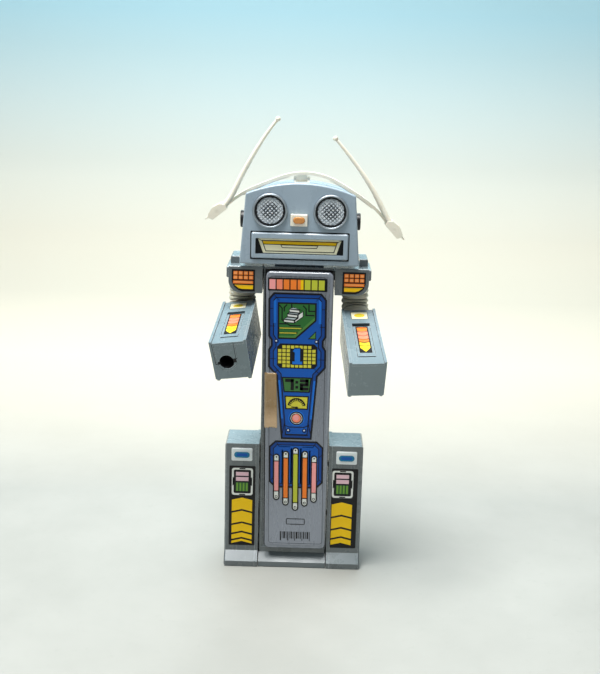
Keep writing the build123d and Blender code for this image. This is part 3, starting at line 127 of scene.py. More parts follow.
class Material:
    """A Principled material and the nodes that feed it. Lengths in here are in metres."""

    def __init__(self, name):
        self.material = bpy.data.materials.new(name)
        self.material.use_nodes = True
        self.tree = self.material.node_tree
        self.shader = self.tree.nodes["Principled BSDF"]
        self.place = self.node("ShaderNodeTexCoord").outputs

    def feed(self, socket, value):
        if isinstance(value, bpy.types.NodeSocket):
            self.tree.links.new(value, socket)
        else:
            socket.default_value = value

    def node(self, kind, inputs=None, **settings):
        node = self.tree.nodes.new(kind)
        for key, value in settings.items():
            setattr(node, key, value)
        for key, value in (inputs or {}).items():
            self.feed(node.inputs[key], value)
        return node

    def remap(self, value, span, to=(0.0, 1.0)):
        return self.node("ShaderNodeMapRange", {
            "Value": value, "From Min": span[0], "From Max": span[1],
            "To Min": to[0], "To Max": to[1]}).outputs["Result"]

    def noise(self, scale, detail, rough, stretch=None, distort=0.0, span=None, to=(0.0, 1.0)):
        """Noise in object space; with a span, that span is remapped to the range in to."""
        place = self.place["Object"]
        if stretch:
            mapping = self.node("ShaderNodeMapping", {"Vector": place, "Scale": stretch})
            place = mapping.outputs["Vector"]
        pattern = self.node("ShaderNodeTexNoise", {
            "Vector": place, "Scale": scale, "Detail": detail,
            "Roughness": rough, "Distortion": distort}).outputs["Fac"]
        return self.remap(pattern, span, to) if span else pattern

    def mix(self, factor, first, second):
        inputs = {0: factor, 6: first, 7: second}
        return self.node("ShaderNodeMix", inputs, data_type="RGBA").outputs[2]

    def combine(self, operation, first, second):
        return self.node("ShaderNodeMath", {0: first, 1: second}, operation=operation).outputs[0]

    def separate(self, space):
        """X, Y and Z of a texture coordinate."""
        return self.node("ShaderNodeSeparateXYZ", {"Vector": self.place[space]}).outputs

    def edge(self):
        """1 on sharp edges, 0 on flat faces."""
        bevel = self.node("ShaderNodeBevel", {"Radius": 0.0005}, samples=4)
        geometry = self.node("ShaderNodeNewGeometry")
        normals = {0: bevel.outputs["Normal"], 1: geometry.outputs["Normal"]}
        dot = self.node("ShaderNodeVectorMath", normals, operation="DOT_PRODUCT")
        return self.remap(dot.outputs["Value"], span=(0.995, 0.86))

    def crevice(self, reach=0.0026):
        """Ambient occlusion mask for painted shade: 1 in narrow gaps, 0 on open faces."""
        open_sky = self.node("ShaderNodeAmbientOcclusion", {"Distance": reach}, samples=8)
        return self.remap(open_sky.outputs["AO"], span=(0.66, 0.28))

    def bump(self, height, strength, distance, under=None):
        inputs = {"Strength": strength, "Distance": distance, "Height": height}
        if under is not None:
            inputs["Normal"] = under
        return self.node("ShaderNodeBump", inputs).outputs["Normal"]

    def finish(self, **values):
        """Set Principled inputs, named as their sockets are, and hand back the material."""
        sockets = {item.name.lower().replace(" ", "_"): item for item in self.shader.inputs}
        for key, value in values.items():
            self.feed(sockets[key], value)
        return self.material


# ------------------------------------------------------------------ kinds of finish
def plastic(name, color, rough, vary=0.10, grain=0.35, wear_sheen_amount=0.35, wear_sheen_color=None, coat=0.0,
            spots=True, soft=0.0, shade_in_crevices=0.0, lit_top_color=None):
    """Moulded plastic: drifting colour, fine grain, grime, stray scuffs, edges lightened by
    scuffing and a painted highlight; optional painted shade in gaps, painted light on tops.
    """
    mat = Material(name)
    drift = mat.noise(scale=22, detail=4, rough=0.6)
    tint = mat.mix(mat.remap(drift, span=(0.3, 0.7)),
                   shade(color, times=1 - vary), shade(color, times=1 + vary))
    speck = mat.noise(scale=1400, detail=2, rough=0.5, span=(0.35, 0.7), to=(0.0, 0.12))
    tint = mat.mix(speck, tint, shade(color, times=1.25))
    if lit_top_color:
        # painted light: upward faces are lighter and bluer, as light from above falls on them
        upward = mat.remap(mat.separate("Normal")["Z"], span=(0.55, 0.92))
        lit_top_patches = mat.remap(drift, span=(0.2, 0.8), to=(0.55, 0.85))
        tint = mat.mix(mat.combine("MULTIPLY", upward, lit_top_patches), tint, lit_top_color)
    # edges lighter, partly scuffed in patches and partly a painted highlight that runs along every
    # edge
    wear_sheen_patches = mat.noise(scale=160, detail=5, rough=0.65, span=(0.40, 0.60), to=(0.35, 1.0))
    wear_sheen_mask = mat.combine("MULTIPLY", mat.combine("MULTIPLY", mat.edge(), wear_sheen_patches), wear_sheen_amount)
    tint = mat.mix(wear_sheen_mask, tint, wear_sheen_color or shade(color, times=1.9))
    if spots:
        grime = mat.noise(scale=58, detail=6, rough=0.7, distort=0.6,
                          span=(0.60, 0.82), to=(0.0, 0.30))
        tint = mat.mix(grime, tint, shade(color, times=0.62))
    # painted shade: colour darkened in narrow gaps, where ambient occlusion finds them
    if shade_in_crevices:
        crevice_shade_mask = mat.combine("MULTIPLY", mat.crevice(), shade_in_crevices)
        tint = mat.mix(crevice_shade_mask, tint, shade(color, times=0.10))
    dull = mat.noise(scale=75, detail=5, rough=0.65, span=(0.3, 0.7),
                     to=(rough - 0.07, rough + 0.10))
    streak = mat.noise(scale=40, detail=3, rough=0.6, stretch=(14, 14, 0.9),
                       span=(0.55, 0.8), to=(0.0, 0.08))
    fine = mat.bump(mat.noise(scale=2600, detail=2, rough=0.5),
                    strength=0.08 * grain, distance=0.00005)
    relief = mat.bump(mat.noise(scale=130, detail=3, rough=0.5),
                      strength=0.03 * grain, distance=0.0003, under=fine)
    if soft:
        mat.finish(subsurface_radius=(0.003, 0.0022, 0.0015), subsurface_scale=0.4)
    return mat.finish(base_color=tint, roughness=mat.combine("ADD", dull, streak), normal=relief,
                      coat_weight=coat, coat_roughness=0.25, subsurface_weight=soft)


def film(name, color, rough=0.34, metallic=0.0):
    """Printed film: flat ink with a faint screen grain, small scratches, glossy surface."""
    mat = Material(name)
    tint = mat.mix(mat.noise(scale=38, detail=3, rough=0.6, span=(0.3, 0.7)),
                   shade(color, times=0.95), shade(color, times=1.05))
    speck = mat.noise(scale=2300, detail=2, rough=0.6, span=(0.45, 0.75), to=(0.0, 0.08))
    tint = mat.mix(speck, tint, shade(color, times=1.35))
    scratches = mat.noise(scale=300, detail=4, rough=0.7, stretch=(1.0, 1.0, 0.18),
                          span=(0.45, 0.75), to=(rough, rough + 0.18))
    relief = mat.bump(mat.noise(scale=420, detail=3, rough=0.5), strength=0.05, distance=0.0001)
    return mat.finish(base_color=tint, roughness=scratches, metallic=metallic, normal=relief,
                      coat_weight=0.12, coat_roughness=0.15, specular_ior_level=0.25)


def foil_film():
    """Front sticker: silvery grey ink, lighter towards the bottom."""
    mat = Material("label foil")
    color = srgb(136, 142, 153)
    tint = mat.mix(mat.remap(mat.separate("Object")["Z"], span=(0.020, 0.110)),
                   shade(color, times=1.30), shade(color, times=0.84))
    drift = mat.noise(scale=38, detail=3, rough=0.6, span=(0.3, 0.7), to=(0.0, 0.25))
    tint = mat.mix(drift, tint, shade(color, times=0.9))
    speck = mat.noise(scale=2300, detail=2, rough=0.6, span=(0.45, 0.75), to=(0.0, 0.10))
    tint = mat.mix(speck, tint, shade(color, times=1.4))
    scratches = mat.noise(scale=300, detail=4, rough=0.7, stretch=(1.0, 1.0, 0.18),
                          span=(0.45, 0.75), to=(0.27, 0.44))
    relief = mat.bump(mat.noise(scale=420, detail=3, rough=0.5), strength=0.05, distance=0.0001)
    return mat.finish(base_color=tint, roughness=scratches, metallic=0.25, normal=relief,
                      coat_weight=0.35, coat_roughness=0.15, specular_ior_level=0.3)


def metal(name, color, rough=0.28, brushed=(60, 1, 1), tarnish=0.25):
    mat = Material(name)
    stain = mat.noise(scale=90, detail=4, rough=0.6, span=(0.35, 0.7), to=(0.0, tarnish))
    dull = mat.noise(scale=240, detail=3, rough=0.6, stretch=brushed, span=(0.3, 0.7),
                     to=(rough - 0.08, rough + 0.12))
    relief = mat.bump(mat.noise(scale=700, detail=2, rough=0.5, stretch=brushed),
                      strength=0.10, distance=0.00005)
    return mat.finish(base_color=mat.mix(stain, color, shade(color, times=0.55)),
                      metallic=1.0, roughness=dull, normal=relief)


def clear(name, color, rough, transmission=1.0):
    mat = Material(name)
    tint = mat.mix(mat.noise(scale=120, detail=3, rough=0.6, span=(0.3, 0.7)),
                   shade(color, times=0.93), shade(color, times=1.05))
    dull = mat.noise(scale=380, detail=4, rough=0.7, span=(0.45, 0.75), to=(rough, rough + 0.10))
    relief = mat.bump(mat.noise(scale=500, detail=2, rough=0.5), strength=0.03, distance=0.0001)
    return mat.finish(base_color=tint, roughness=dull, transmission_weight=transmission,
                      ior=1.49, normal=relief)


def aged_tape():
    mat = Material("aged tape")
    drift = mat.noise(scale=26, detail=4, rough=0.6, stretch=(3.0, 1.0, 0.35), span=(0.3, 0.7))
    tint = mat.mix(drift, srgb(146, 116, 74), srgb(178, 146, 100))
    # painted highlight: lighter towards the torn foot, with pale specks as painted glints
    foot = mat.remap(mat.separate("Object")["Z"], span=(0.1075, 0.0985))
    tint = mat.mix(foot, tint, srgb(212, 178, 138))
    tape_glints = mat.noise(scale=300, detail=3, rough=0.6, span=(0.58, 0.78), to=(0.0, 0.4))
    tint = mat.mix(tape_glints, tint, srgb(226, 206, 170))
    dull = mat.noise(scale=120, detail=4, rough=0.6, span=(0.35, 0.7), to=(0.16, 0.34))
    relief = mat.bump(mat.noise(scale=90, detail=3, rough=0.6, stretch=(2.0, 1.0, 0.4)),
                      strength=0.25, distance=0.0004)
    return mat.finish(base_color=tint, roughness=dull, normal=relief, coat_weight=0.5)


def prism_plastic():
    mat = Material("prism plastic")
    # painted sparkle: the clear prisms are painted pale grey to near white in fine patches
    tint = mat.mix(mat.noise(scale=900, detail=2, rough=0.5, span=(0.3, 0.7)),
                   srgb(190, 203, 214), srgb(242, 247, 251))
    # painted shade: darker in the hollows between the prisms
    groove_shade = mat.combine("MULTIPLY", mat.crevice(reach=0.0009), 0.6)
    tint = mat.mix(groove_shade, tint, srgb(60, 70, 80))
    dull = mat.noise(scale=600, detail=2, rough=0.5, span=(0.3, 0.7), to=(0.08, 0.18))
    return mat.finish(base_color=tint, roughness=dull, transmission_weight=0.0, ior=1.5,
                      metallic=0.12, coat_weight=0.8)


# ------------------------------------------------------------------ the finishes
# ink name: 0-255 display colour
INK_COLORS = {
    "black": (10, 11, 14), "navy": (6, 9, 20), "blue": (8, 86, 178), "mid blue": (20, 114, 218),
    "white": (232, 236, 230), "pale blue": (196, 212, 212), "cream": (244, 240, 206),
    "yellow": (255, 206, 2), "bright yellow": (240, 214, 36), "lemon": (216, 208, 66),
    "orange": (255, 134, 48), "salmon": (252, 142, 110), "pink": (255, 166, 164),
    "yellow green": (198, 204, 62), "green": (46, 112, 50), "readout green": (62, 116, 60),
    "band blue": (6, 66, 146), "leaf green": (80, 136, 64), "badge blue": (32, 122, 160),
    "gold": (236, 186, 48), "peach": (252, 172, 104), "blush": (234, 196, 206),
    "grass green": (112, 160, 52),
}
INKS = {name: film("ink " + name, srgb(*color)) for name, color in INK_COLORS.items()}
# painted shade: dark lines laid on like ink where the gaps between pieces lie in shadow
INKS["gap"] = plastic("shadow gap", srgb(14, 16, 18), rough=0.7, vary=0.2, wear_sheen_amount=0.0)

BODY_GREY = srgb(98, 107, 110)
# pale colour of scuffed edges and of the painted edge highlight
PALE_WEAR_SHEEN = srgb(206, 216, 220)
MATERIALS = {
    "foot": plastic("foot grey", shade(BODY_GREY, times=1.25), rough=0.36, shade_in_crevices=0.95,
                    coat=0.15, wear_sheen_amount=0.5, wear_sheen_color=PALE_WEAR_SHEEN),
    "body": plastic("body grey", BODY_GREY, rough=0.25, shade_in_crevices=0.95, coat=0.8,
                    lit_top_color=srgb(150, 170, 177), wear_sheen_amount=0.6, wear_sheen_color=PALE_WEAR_SHEEN),
    "head": plastic("head grey", srgb(158, 176, 190), rough=0.27, shade_in_crevices=0.95, coat=0.3,
                    wear_sheen_amount=0.5, wear_sheen_color=srgb(206, 216, 222)),
    "cover": plastic("cover grey", srgb(136, 143, 154), rough=0.24, vary=0.08, grain=0.2,
                     coat=0.35, shade_in_crevices=0.95, wear_sheen_amount=0.5, wear_sheen_color=srgb(200, 208, 216)),
    "arm": plastic("forearm grey", srgb(114, 132, 139), rough=0.24, shade_in_crevices=0.95, coat=0.8,
                   lit_top_color=srgb(126, 149, 158), wear_sheen_amount=0.7, wear_sheen_color=srgb(214, 228, 234)),
    # painted light: the clip is the headband's cream, painted whiter to lift it out of the shade
    # it sits in
    "clip": plastic("lit clip cream", srgb(255, 252, 240), rough=0.45, vary=0.03, wear_sheen_amount=0.1,
                    wear_sheen_color=srgb(255, 254, 250), spots=False),
    "badge": plastic("badge plastic", srgb(232, 240, 241), rough=0.30, vary=0.05, wear_sheen_amount=0.2,
                     wear_sheen_color=srgb(250, 252, 252), soft=0.05),
    "cream": plastic("cream plastic", srgb(246, 241, 224), rough=0.34, vary=0.07, wear_sheen_amount=0.15,
                     wear_sheen_color=srgb(250, 246, 236), soft=0.08),
    "vinyl": plastic("cream vinyl", srgb(236, 232, 212), rough=0.42, vary=0.08, wear_sheen_amount=0.1,
                     grain=0.6, shade_in_crevices=0.85, wear_sheen_color=srgb(246, 240, 225), soft=0.12),
    "black": plastic("black plastic", srgb(26, 27, 30), rough=0.36, vary=0.15,
                     wear_sheen_color=srgb(90, 92, 96)),
    "gearbox": plastic("gearbox grey", srgb(50, 52, 56), rough=0.5, wear_sheen_color=srgb(100, 100, 104)),
    "acetal": plastic("natural gear plastic", srgb(226, 224, 214), rough=0.38,
                      wear_sheen_color=srgb(244, 244, 240), soft=0.08),
    "steel": metal("plated steel", srgb(178, 180, 182)),
    "spring": metal("spring wire", srgb(168, 168, 166), rough=0.22),
    "brass": metal("brass", srgb(205, 172, 104)),
    "can": metal("motor can", srgb(190, 190, 188), rough=0.25, brushed=(1, 40, 1)),
    "contact": metal("contact strip", srgb(200, 196, 186), rough=0.22),
    "jacket": film("cell jacket", srgb(38, 44, 60), rough=0.3, metallic=0.3),
    "foil": foil_film(),
    "chrome": metal("chromed reflector", srgb(225, 226, 228), rough=0.12, brushed=(1, 1, 1),
                    tarnish=0.1),
    "rim": metal("silvered rim", srgb(184, 194, 202), rough=0.46, brushed=(1, 1, 1),
                 tarnish=0.15),
    "lens": clear("lens plastic", srgb(236, 240, 244), rough=0.05),
    "bulb": clear("bulb glass", srgb(250, 246, 232), rough=0.03),
    "amber": clear("amber plastic", srgb(250, 178, 104), rough=0.12, transmission=0.35),
    "label": INKS["black"],
    "tape": aged_tape(),
}

# ------------------------------------------------------------------ finishes and edges of pieces
PIECES_BY_FINISH = {
    "body": ("torso_front", "torso_rear", "battery_door", "leg_left_shell", "leg_left_plate",
             "leg_right_shell", "leg_right_plate", "shoulder_left", "shoulder_right"),
    "steel": ("torso_screws", "main_axle", "idler_axle"),
    "cover": ("front_cover",),
    "foil": ("front_label",),
    "foot": ("base_foot",),
    "jacket": ("battery_cells",),
    "contact": ("battery_contacts",),
    "black": ("switch_knob", "eye_bezels", "ear_discs", "left_swivel_ring",
              "right_swivel_ring", "plunger"),
    "gearbox": ("gearbox_left_plate", "gearbox_right_plate"),
    "can": ("motor",),
    "brass": ("motor_pinion",),
    "acetal": ("first_gear", "second_gear", "drive_gear", "drive_cranks", "idler_cranks"),
    "badge": ("leg_left_badge", "leg_right_badge"),
    "label": ("leg_left_label", "leg_right_label", "shoulder_labels", "mouth_label"),
    "head": ("head_face", "head_shell", "mouth_frame"),
    "lens": ("eye_lenses",),
    "chrome": ("eye_reflectors",),
    "bulb": ("eye_bulbs",),
    "cream": ("nose_block", "headband", "antenna_left", "antenna_right"),
    "amber": ("nose_lens",),
    "clip": ("crown_clip",),
    "vinyl": ("left_hose", "right_hose"),
    "arm": ("left_forearm", "right_forearm", "left_forearm_lid", "right_forearm_lid",
            "left_slider", "launch_slider", "launch_barrel"),
    "spring": ("launch_spring",),
}
FINISH_OF = {piece: finish for finish, pieces in PIECES_BY_FINISH.items() for piece in pieces}

# bevel width: pieces whose edges it rounds
PIECES_BY_BEVEL = {
    0.4: ("leg_left_shell", "leg_right_shell"),
    0.35: ("torso_front", "torso_rear", "base_foot", "shoulder_left", "shoulder_right",
           "head_face"),
    0.3: ("leg_left_plate", "leg_right_plate", "head_shell", "left_forearm", "right_forearm",
          "headband"),
    0.25: ("ear_discs", "battery_door"),
    0.2: ("front_cover", "left_forearm_lid", "right_forearm_lid", "switch_knob"),
    0.18: ("mouth_frame", "launch_barrel"),
    0.15: ("nose_block", "left_slider", "launch_slider"),
    0.12: ("crown_clip",),
    0.1: ("leg_left_badge", "leg_right_badge"),
}
BEVEL_ANGLE = math.radians(38)
SHARP_ANGLE = math.radians(28)


def round_edges(piece, width):
    bevel = NODES[piece].modifiers.new("edge", "BEVEL")
    bevel.width = width * MM
    bevel.segments = 2
    bevel.limit_method = "ANGLE"
    bevel.angle_limit = BEVEL_ANGLE
    bevel.use_clamp_overlap = True
    bevel.harden_normals = False


def smooth_between_sharp_edges(mesh):
    for face in mesh.polygons:
        face.use_smooth = True
    marks = (mesh.attributes.get("sharp_edge")
             or mesh.attributes.new("sharp_edge", "BOOLEAN", "EDGE"))
    work = bmesh.new()
    work.from_mesh(mesh)
    sharp = [len(edge.link_faces) != 2 or edge.calc_face_angle(0) > SHARP_ANGLE
             for edge in work.edges]
    work.free()
    marks.data.foreach_set("value", sharp)


for piece, obj in NODES.items():
    obj.data.materials.clear()
    obj.data.materials.append(MATERIALS[FINISH_OF[piece]])
for width, pieces in PIECES_BY_BEVEL.items():
    for piece in pieces:
        round_edges(piece, width)
for obj in NODES.values():
    smooth_between_sharp_edges(obj.data)


# ------------------------------------------------------------------ flat outlines
def rect(left, bottom, right, top):
    return [(left, bottom), (right, bottom), (right, top), (left, top)]


def arc(x, y, radius, angles, tall=None):
    """Points at the angles, in degrees; tall is the radius along y if it differs."""
    turns = [math.radians(angle) for angle in angles]
    return [(x + radius * math.cos(turn), y + (tall or radius) * math.sin(turn))
            for turn in turns]


def circle(x, y, radius, count, tall=None):
    return arc(x, y, radius, [360 * i / count for i in range(count)], tall)


def rounded(left, bottom, right, top, radius):
    corners = ((right - radius, bottom + radius, -90), (right - radius, top - radius, 0),
               (left + radius, top - radius, 90), (left + radius, bottom + radius, 180))
    points = []
    for x, y, start in corners:
        points += arc(x, y, radius, range(start, start + 91, 18))
    return points


def chamfered(left, bottom, right, top, cut):
    return [(left + cut, bottom), (right - cut, bottom), (right, bottom + cut),
            (right, top - cut), (right - cut, top), (left + cut, top), (left, top - cut),
            (left, bottom + cut)]


def mirrored(points, side):
    return [(side * x, y) for x, y in points]


def counterclockwise(points):
    area = sum(a[0] * b[1] - b[0] * a[1] for a, b in zip(points, points[1:] + points[:1]))
    return points[::-1] if area < 0 else points


def inset(points, width):
    """Counterclockwise outline moved inwards; very sharp corners are held back."""
    moved = []
    for i, point in enumerate(points):
        normals = []
        for start, end in ((points[i - 1], point), (point, points[(i + 1) % len(points)])):
            along = (end[0] - start[0], end[1] - start[1])
            length = math.hypot(*along) or 1
            normals.append((-along[1] / length, along[0] / length))
        before, after = normals
        spread = 1 + before[0] * after[0] + before[1] * after[1]
        shift = width / max(spread, 0.35)
        moved.append((point[0] + (before[0] + after[0]) * shift,
                      point[1] + (before[1] + after[1]) * shift))
    return moved


# ------------------------------------------------------------------ artwork of thin closed plates
LAYER = 0.022


class Art:
    """Plates of printed ink stacked on a flat face.

    at(x, y, height) gives the point in mm for face coordinates and height above the face.
    Every plate starts on the face; a higher layer makes it thicker, so it hides lower ones.
    """

    def __init__(self, name, body, at):
        self.name, self.body, self.at = name, body, at
        self.vertices, self.faces, self.slots, self.inks = [], [], [], []

    def add_faces(self, faces, ink):
        if ink not in self.inks:
            self.inks.append(ink)
        self.faces += faces
        self.slots += [self.inks.index(ink)] * len(faces)

    def poly(self, points, ink, layer=0):
        points = counterclockwise(points)
        count, base = len(points), len(self.vertices)
        for height in (0.0, LAYER * (layer + 1)):
            self.vertices += [self.at(x, y, height) for x, y in points]
        faces = [[base + count + i for i in range(count)],
                 [base + i for i in reversed(range(count))]]
        for i in range(count):
            after = (i + 1) % count
            faces.append([base + i, base + after, base + count + after, base + count + i])
        self.add_faces(faces, ink)

    def ring(self, outer, inner, ink, layer=0):
        count, base = len(outer), len(self.vertices)
        for height in (0.0, LAYER * (layer + 1)):
            self.vertices += [self.at(x, y, height) for x, y in outer + inner]
        low_out, low_in, top_out, top_in = (base + count * i for i in range(4))
        for i in range(count):
            j = (i + 1) % count
            self.add_faces([
                [top_out + i, top_out + j, top_in + j, top_in + i],
                [low_out + j, low_out + i, low_in + i, low_in + j],
                [low_out + i, low_out + j, top_out + j, top_out + i],
                [low_in + j, low_in + i, top_in + i, top_in + j]], ink)

    def frame(self, points, width, ink, layer=0):
        """Outline of a closed shape, its width measured inwards."""
        points = counterclockwise(points)
        self.ring(points, inset(points, width), ink, layer)

    def outlined(self, points, ink, width, layer):
        self.poly(points, ink, layer)
        self.frame(points, width, "navy", layer + 1)

    def stroke(self, points, width, ink, layer=0):
        """Straight bars along a line, each running half a width past its ends."""
        for (x0, y0), (x1, y1) in zip(points, points[1:]):
            length = math.hypot(x1 - x0, y1 - y0) or 1
            end_x = (x1 - x0) / length * width / 2
            end_y = (y1 - y0) / length * width / 2
            self.poly([(x0 - end_x - end_y, y0 - end_y + end_x),
                       (x0 - end_x + end_y, y0 - end_y - end_x),
                       (x1 + end_x + end_y, y1 + end_y - end_x),
                       (x1 + end_x - end_y, y1 + end_y + end_x)], ink, layer)

    def disc(self, x, y, radius, ink, layer=0, tall=None):
        self.poly(circle(x, y, radius, 32, tall), ink, layer)

    def hoop(self, x, y, radius, width, ink, layer=0, count=36):
        self.ring(circle(x, y, radius, count), circle(x, y, radius - width, count), ink, layer)

    def build(self):
        obj = add_mesh(self.name, metres(self.vertices), self.faces,
                       [INKS[ink] for ink in self.inks], smooth=False, slots=self.slots)
        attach(obj, self.body)


def facing(front, x0=0.0, z0=0.0, side=1):
    """Places art on a face that looks to -Y; side -1 mirrors it in x."""
    return lambda x, z, height: (x0 + side * x, front - height, z0 + z)


# ------------------------------------------------------------------ front panel art
LABEL_FRONT = front_of("front_label")


def on_front_panel(x, z, height):
    """The art leans a little with the panel."""
    return (x + 1.75 - 0.0148 * (z - 40), LABEL_FRONT - height, z)


def color_strip(art):
    art.poly(rounded(-18.1, 181.0, 17.9, 189.1, 0.5), "black")
    bottom, top = 182.0, 188.0
    left = -17.2
    # cell width, ink
    cells = ((4.3, "pink"), (4.1, "salmon"), (4.0, "orange"), (4.2, "orange"), (4.1, "split"),
             (4.1, "yellow green"), (4.1, "yellow green"), (4.2, "yellow green"))
    for width, ink in cells:
        right = left + width - 0.62
        if ink == "split":
            middle = left + width / 2 - 0.2
            art.poly(rect(left, bottom, middle, top), "orange", 1)
            art.poly(rect(middle, bottom, right, top), "yellow", 1)
        else:
            art.poly(rect(left, bottom, right, top), ink, 1)
        left += width + 0.13


def blue_panel(art, outline, border, outer_line, inner_line):
    field = inset(outline, border)
    art.poly(outline, "band blue", 0)
    art.poly(field, "blue", 1)
    art.frame(outline, outer_line, "navy", 2)
    art.frame(field, inner_line, "navy", 2)


def upper_panel(art):
    outline = [
        (-17.8, 152.6), (-16.2, 150.2), (-16.2, 146.8), (-17.8, 144.4), (-17.8, 133.2),
        (-14.4, 129.2), (-12.9, 127.6), (-9.6, 86.6), (9.6, 86.6), (12.9, 127.6),
        (14.4, 129.2), (17.8, 133.2), (17.8, 144.4), (16.2, 146.8), (16.2, 150.2),
        (17.8, 152.6), (17.8, 176.0), (14.6, 180.0), (-14.6, 180.0), (-17.8, 176.0)]
    blue_panel(art, outline, border=2.9, outer_line=1.2, inner_line=0.6)
    # line, width
    ticks = (([(17.0, 170.0), (13.6, 170.0)], 0.4), ([(17.0, 159.0), (13.8, 159.0)], 0.4),
             ([(17.0, 138.4), (13.2, 138.4)], 0.4), ([(14.2, 178.6), (11.2, 175.0)], 0.45),
             ([(13.6, 129.6), (10.9, 132.4)], 0.45))
    low_stripe = [(12.1, 124.8), (10.3, 124.8), (8.4, 100.0), (10.2, 100.0)]
    high_stripe = [(14.6, 174.6), (13.0, 176.0), (13.0, 161.0), (14.6, 161.0)]
    for side in (-1, 1):
        for line, width in ticks:
            art.stroke(mirrored(line, side), width, "navy", 1)
        art.poly(mirrored(low_stripe, side), "mid blue", 1)
        art.poly(mirrored(high_stripe, side), "mid blue", 3)


def screen(art):
    art.outlined([(-12.1, 151.0), (-0.9, 151.0), (11.6, 162.8), (11.6, 174.0), (-12.1, 174.0)],
                 "green", 1.0, 2)
    art.poly([(-11.2, 151.9), (-1.3, 151.9), (10.6, 163.2), (10.6, 165.0), (-2.4, 153.0),
              (-11.2, 153.0)], "leaf green", 3)
    for z in (157.9, 154.9):
        reach = z - 154.9
        art.stroke([(-11.0, z), (-0.5 + reach, z)], 1.15, "navy", 3)
        art.stroke([(-10.6, z), (-0.9 + reach, z)], 0.6, "lemon", 4)
    for line in ([(-10.8, 171.9), (-9.4, 170.2), (-9.4, 163.2), (-7.4, 161.2)],
                 [(3.6, 171.9), (5.2, 170.2), (5.2, 166.2), (9.9, 166.2)],
                 [(-3.6, 172.6), (-3.6, 170.9)],
                 [(6.9, 172.4), (6.9, 168.8), (10.3, 168.8)],
                 [(-6.6, 172.4), (-8.1, 170.9), (-8.1, 168.6)],
                 [(-10.6, 160.6), (-6.0, 160.6), (-4.4, 159.6), (1.6, 159.6)]):
        art.stroke(line, 0.75, "navy", 3)
    art.outlined([(6.4, 151.3), (11.5, 151.3), (11.5, 156.6)], "leaf green", 0.55, 2)


def stepped_block(art):
    """Stepped block in isometric view, on the screen."""
    for face, ink in (
            ([(-8.6, 161.6), (-1.8, 161.0), (-1.8, 162.9), (-8.6, 163.5)], "white"),
            ([(-8.6, 163.5), (-1.8, 162.9), (0.2, 164.4), (-6.4, 165.0)], "pale blue"),
            ([(-6.4, 165.0), (0.2, 164.4), (0.2, 166.4), (-6.4, 167.0)], "white"),
            ([(-6.4, 167.0), (0.2, 166.4), (1.4, 167.4), (-5.2, 168.0)], "pale blue"),
            ([(-5.2, 168.0), (1.4, 167.4), (1.4, 169.4), (-5.2, 170.0)], "white"),
            ([(-1.8, 161.0), (3.6, 165.2), (3.6, 169.0), (1.4, 167.4), (0.2, 166.4),
              (0.2, 164.4), (-1.8, 162.9)], "white"),
            ([(-5.2, 170.0), (1.4, 169.4), (3.6, 169.0), (-2.6, 171.2)], "pale blue")):
        art.outlined(face, ink, 0.42, 4)


def rivets(art):
    for x, z in ((-12.7, 149.6), (11.9, 149.7), (-5.0, 92.4), (5.0, 92.4)):
        art.disc(x, z, 1.0, "band blue", 2)
        art.disc(x - 0.15, z + 0.15, 0.5, "white", 4)
        art.hoop(x, z, 1.3, 0.4, "navy", 3)


def keypad(art):
    """Grid of keys with its corners and middle left out, and a pointer over the middle."""
    art.poly(chamfered(-12.4, 132.5, 12.4, 148.2, 2.0), "navy", 3)
    for i in range(9):
        for j in range(6):
            if (i in (0, 8) and j in (0, 5)) or (3 <= i <= 5 and 0 < j < 5):
                continue
            x, z = -11.7 + i * 2.62, 133.2 + j * 2.4
            art.poly(rect(x, z, x + 2.05, z + 1.85), "lemon", 4)
    pointer = [(-3.4, 134.8), (3.6, 134.8), (3.6, 137.5), (2.3, 137.5), (2.3, 145.8),
               (-1.7, 145.8), (-3.3, 143.2), (-1.9, 142.4), (-1.9, 137.5), (-3.4, 137.5)]
    art.outlined(pointer, "mid blue", 0.45, 4)


def digit(art, left, segments):
    """Seven-segment digit; the segments have their usual letters."""
    bottom, thick = 118.6, 1.95
    right, top, middle = left + 5.4, bottom + 7.2, bottom + 7.2 / 2
    shapes = {
        "a": rect(left, top - thick, right, top),
        "g": rect(left, middle - thick / 2, right, middle + thick / 2),
        "d": rect(left, bottom, right, bottom + thick),
        "b": rect(right - thick, middle, right, top),
        "e": rect(left, bottom, left + thick, middle),
        "c": rect(right - thick, bottom, right, middle),
    }
    for segment in segments:
        art.poly(shapes[segment], "black", 4)


def readout(art):
    """The digits 7:2."""
    art.outlined([(-9.3, 127.0), (9.3, 127.0), (8.2, 117.2), (-8.2, 117.2)],
                 "readout green", 0.8, 2)
    digit(art, -7.2, "abc")
    digit(art, 1.9, "abged")
    for bottom in (122.9, 119.7):
        art.poly(rect(-0.85, bottom, 0.85, bottom + 1.7), "black", 4)


def gauge(art):
    z = 107.2
    ticks = range(20, 161, 14)
    scale = arc(0, z, 5.4, ticks, tall=6.0)
    art.outlined([(-7.6, 115.0), (7.6, 115.0), (7.0, 106.2), (-7.0, 106.2)], "lemon", 0.8, 2)
    art.stroke(scale, 0.9, "black", 3)
    for tick in zip(arc(0, z, 4.1, ticks, tall=4.7), scale):
        art.stroke(tick, 0.62, "black", 4)
    art.stroke([(-3.0, 107.7), (0.6, 107.5)], 0.7, "black", 4)
    art.disc(0, z, 0.9, "black", 5)


